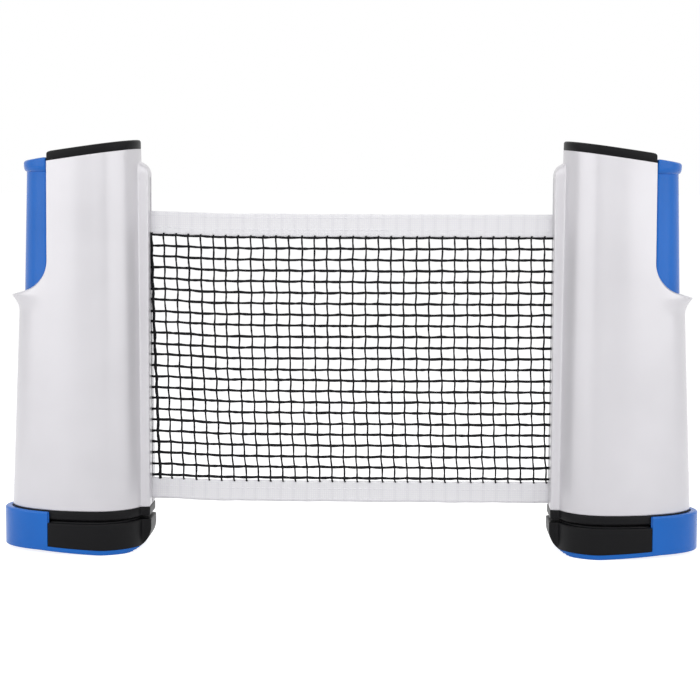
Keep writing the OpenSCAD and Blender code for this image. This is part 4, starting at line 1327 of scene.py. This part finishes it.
def screw_wells(side):
    """Open tubes behind the back shell, where the screws of the head sit."""
    made = []
    floor, middle = CAP_SCREW_Y - 1.2, 0.5
    profile = ((middle, floor), (BOSS_R, floor), (BOSS_R, WELL_END), (WELL_R, WELL_END),
               (WELL_R, CAP_SCREW_Y), (middle, CAP_SCREW_Y))
    for x in CAP_SCREWS:
        rings = [[(x + u, y, CAP_SCREW_Z + v) for u, v in circle(r, 40)] for r, y in profile]
        made.append(new_object("well", *loft(rings), side))
    return made


# Solids of the CAD that show as they are, and their finishes
DRESSED_SOLIDS = {
    "upper_grip": "rubber", "lower_grip": "rubber", "slide_bar": "bar", "spring_guide_rod": "turned",
    "top_bearing_plate": "nylon", "roller_shaft": "turned", "roller_tube": "tube", "roller_bushes": "nylon",
    "retract_spring": "spring", "net_batten": "nylon", "upper_jaw_screws": "turned", "handle_screw": "turned",
}


def build_post(side):
    """Dresses one post, its clamp and its roller."""
    post, moving, roller = f"{side}_post", f"{side}_clamp", f"{side}_roller"
    front = join(f"{side}_housing_front_skin", housing_half(side, "front", -1))
    shown(front, "pearl", post, f"{side}_housing_front")
    back_parts = housing_half(side, "back", 1)
    wells = [rod("hole", (x, CAP_SCREW_Z), "y", WELL_R, BORE_FROM, BORE_TO, side) for x in CAP_SCREWS]
    back_parts[0] = cut(back_parts[0], join("holes", wells))
    back = join(f"{side}_housing_back_skin", back_parts + screw_wells(side))
    shown(back, "pearl", post, f"{side}_housing_back")
    shown(top_cap(side), "black", post, f"{side}_top_cap")
    shown(upper_jaw(side), "black", post, f"{side}_upper_jaw")
    shown(squeeze_handle(side), "blue", moving, f"{side}_squeeze_handle")
    shown(jaw_shoe(side), "blue", moving, f"{side}_jaw_shoe")
    shown(jaw_block(side), "black", moving, f"{side}_jaw_block")
    shown(wound_net(side), "roll", roller, f"{side}_net_roll")
    spring = apply_tree(clamp_spring(side), WIRE,
                        {"Radius": SPRING_WIRE / 2 * MM, "Sides": 8, "Material": MATERIALS["spring"]})
    shown(spring, "spring", post, f"{side}_clamp_spring")
    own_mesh(spring)
    screws(f"{side}_shoe_screws", side, [(x, 0, HEAD_SEAT + underside(x)) for x in SHOE_SCREWS],
           (0.0, 0.0, 0.4), moving, f"{side}_lower_jaw_screws")
    screws(f"{side}_head_screws", side, [(x, CAP_SCREW_Y, CAP_SCREW_Z) for x in CAP_SCREWS],
           (math.pi / 2, 0.0, 0.0), post, f"{side}_housing_screws")
    for node, key in DRESSED_SOLIDS.items():
        paint(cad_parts[f"{side}_{node}"], key)


for side in SIDES:
    build_post(side)


# ---- Dress the net ----


def between_posts(obj):
    """Bakes a piece's place into its mesh."""
    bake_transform(obj)


def net_column(number, wire, knots):
    """One upright thread with its knots."""
    thread = apply_tree(paths_object("upright_thread", [wire]), WIRE,
                        {"Radius": THREAD_R * MM, "Sides": 6, "Material": MATERIALS["thread"]})
    beads = apply_tree(points_object("upright_knots", knots), SCATTER,
                       {"Piece": KNOT, "Scale": KNOT_R * MM, "Material": MATERIALS["thread"]})
    made = join(f"net_column_{number}", [thread, beads])
    paint(made, "thread")
    between_posts(made)
    return made


def build_net():
    """Dresses the mesh, its columns, both tapes and their stitches."""
    row_paths, column_paths = net_threads()
    net = apply_tree(paths_object("net_mesh_threads", row_paths), WIRE,
                     {"Radius": THREAD_R * MM, "Sides": 6, "Material": MATERIALS["thread"]})
    columns = [net_column(number, *made) for number, made in enumerate(column_paths)]
    upper = tape_band("net_tape_top_cloth", MESH_TOP, NET_TOP)
    lower = tape_band("net_tape_bottom_cloth", NET_FOOT - TAPE_SAG, MESH_FOOT)
    for obj, key, node in ((net, "thread", "net_mesh"), (upper, "tape", "net_tape_top"),
                           (lower, "tape", "net_tape_bottom")):
        paint(obj, key)
        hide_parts(node)
        between_posts(obj)
    for name, heights in (("top_tape_stitches", (NET_TOP - 2.0, NET_TOP - 8.0)),
                          ("bottom_tape_stitches", (NET_FOOT + 0.6, NET_FOOT + 6.0))):
        row = apply_tree(stitch_row(name, heights), SCATTER,
                         {"Piece": STITCH, "Scale": MM, "Material": MATERIALS["tape"]})
        paint(row, "tape")
        between_posts(row)


build_net()
for piece in (SCREW, KNOT, STITCH):
    bpy.data.objects.remove(piece)


# ---- Floor, light and camera ----

# How much white the floor adds for the camera, the world's strength on the object, and the floor's reach
FLOOR_GLOW, WORLD_LIGHT, FLOOR_REACH = 0.85, 0.27, 30.0
WHITE = (1, 1, 1, 1)
# Each softbox in metres and watts: its place, what it faces, its width, its height and its power
SOFTBOXES = {
    "left_softbox": ((-0.715, -0.41, 0.42), (-0.06, 0, 0.1), 1.0, 0.75, 3.3),
    "right_softbox": ((0.715, -0.41, 0.42), (0.06, 0, 0.1), 1.0, 0.75, 3.2),
    "top_softbox": ((0, 0.15, 1.15), (0, 0, 0.1), 1.2, 0.8, 3.0),
    "front_softbox": ((0, -1.35, 0.6), (0, 0, 0.1), 1.0, 0.6, 3.4),
}
CAMERA_PLACE = (0.024458, -0.95015, 0.1848)
YAW, PITCH, ROLL = (math.radians(v) for v in (-1.497, 5.037, 0.23))
LENS, SENSOR = 97.14, 36.0


def emptied(owner):
    """The node tree of a material or a world, cleared."""
    owner.use_nodes = True
    owner.node_tree.nodes.clear()
    return owner.node_tree


def background_rays(tree):
    """One for rays of the camera and of glossy and clear surfaces, which see the background's white."""
    rays = add(tree, "ShaderNodeLightPath").outputs
    either = add(tree, "ShaderNodeMath", {0: rays["Is Camera Ray"], 1: rays["Is Glossy Ray"]},
                 operation="MAXIMUM")
    return add(tree, "ShaderNodeMath", {0: either.outputs[0], 1: rays["Is Transmission Ray"]},
               operation="MAXIMUM").outputs[0]


def stage_floor():
    """A white floor that keeps the shadow; for the camera its own white is added."""
    mesh = bpy.data.meshes.new("floor")
    r = FLOOR_REACH
    mesh.from_pydata([(-r, -r, 0), (r, -r, 0), (r, r, 0), (-r, r, 0)], [], [(0, 1, 2, 3)])
    floor = linked("floor", mesh)
    mat = bpy.data.materials.new("white_floor")
    tree = emptied(mat)
    glow = add(tree, "ShaderNodeMath", {0: background_rays(tree), 1: FLOOR_GLOW}, operation="MULTIPLY")
    matt = add(tree, "ShaderNodeBsdfDiffuse", {"Color": colour("D2D2D4")})
    light = add(tree, "ShaderNodeEmission", {"Color": WHITE, "Strength": glow.outputs[0]})
    both = add(tree, "ShaderNodeAddShader", {0: matt.outputs[0], 1: light.outputs[0]})
    add(tree, "ShaderNodeOutputMaterial", {"Surface": both.outputs[0]})
    mesh.materials.append(mat)


def world_light():
    """White behind the object, and a plain soft light from all round."""
    world = bpy.data.worlds.new("studio")
    bpy.context.scene.world = world
    tree = emptied(world)
    soft = add(tree, "ShaderNodeBackground", {"Color": WHITE, "Strength": WORLD_LIGHT})
    white = add(tree, "ShaderNodeBackground", {"Color": WHITE, "Strength": 1.0})
    mix = add(tree, "ShaderNodeMixShader", {
        0: background_rays(tree), 1: soft.outputs[0], 2: white.outputs[0]})
    add(tree, "ShaderNodeOutputWorld", {"Surface": mix.outputs[0]})


def softbox(name, place, aim, width, height, power):
    """A rectangular lamp that faces a point."""
    lamp = bpy.data.lights.new(name, "AREA")
    lamp.shape = "RECTANGLE"
    lamp.size, lamp.size_y, lamp.energy = width, height, power
    obj = linked(name, lamp)
    obj.location = place
    obj.rotation_euler = (Vector(aim) - Vector(place)).to_track_quat("-Z", "Y").to_euler()


def camera():
    """A long lens a metre in front, a little above the net."""
    fwd = Vector((math.sin(YAW) * math.cos(PITCH), math.cos(YAW) * math.cos(PITCH), -math.sin(PITCH)))
    level = Vector((math.cos(YAW), -math.sin(YAW), 0))
    above = level.cross(fwd)
    right = level * math.cos(ROLL) + above * math.sin(ROLL)
    up = above * math.cos(ROLL) - level * math.sin(ROLL)
    data = bpy.data.cameras.new("camera")
    data.lens, data.sensor_width = LENS, SENSOR
    obj = linked("camera", data)
    obj.matrix_world = Matrix.Translation(CAMERA_PLACE) @ Matrix((right, up, -fwd)).transposed().to_4x4()
    bpy.context.scene.camera = obj


stage_floor()
world_light()
for name, settings in SOFTBOXES.items():
    softbox(name, *settings)
camera()
bpy.context.scene.view_settings.view_transform = "Standard"
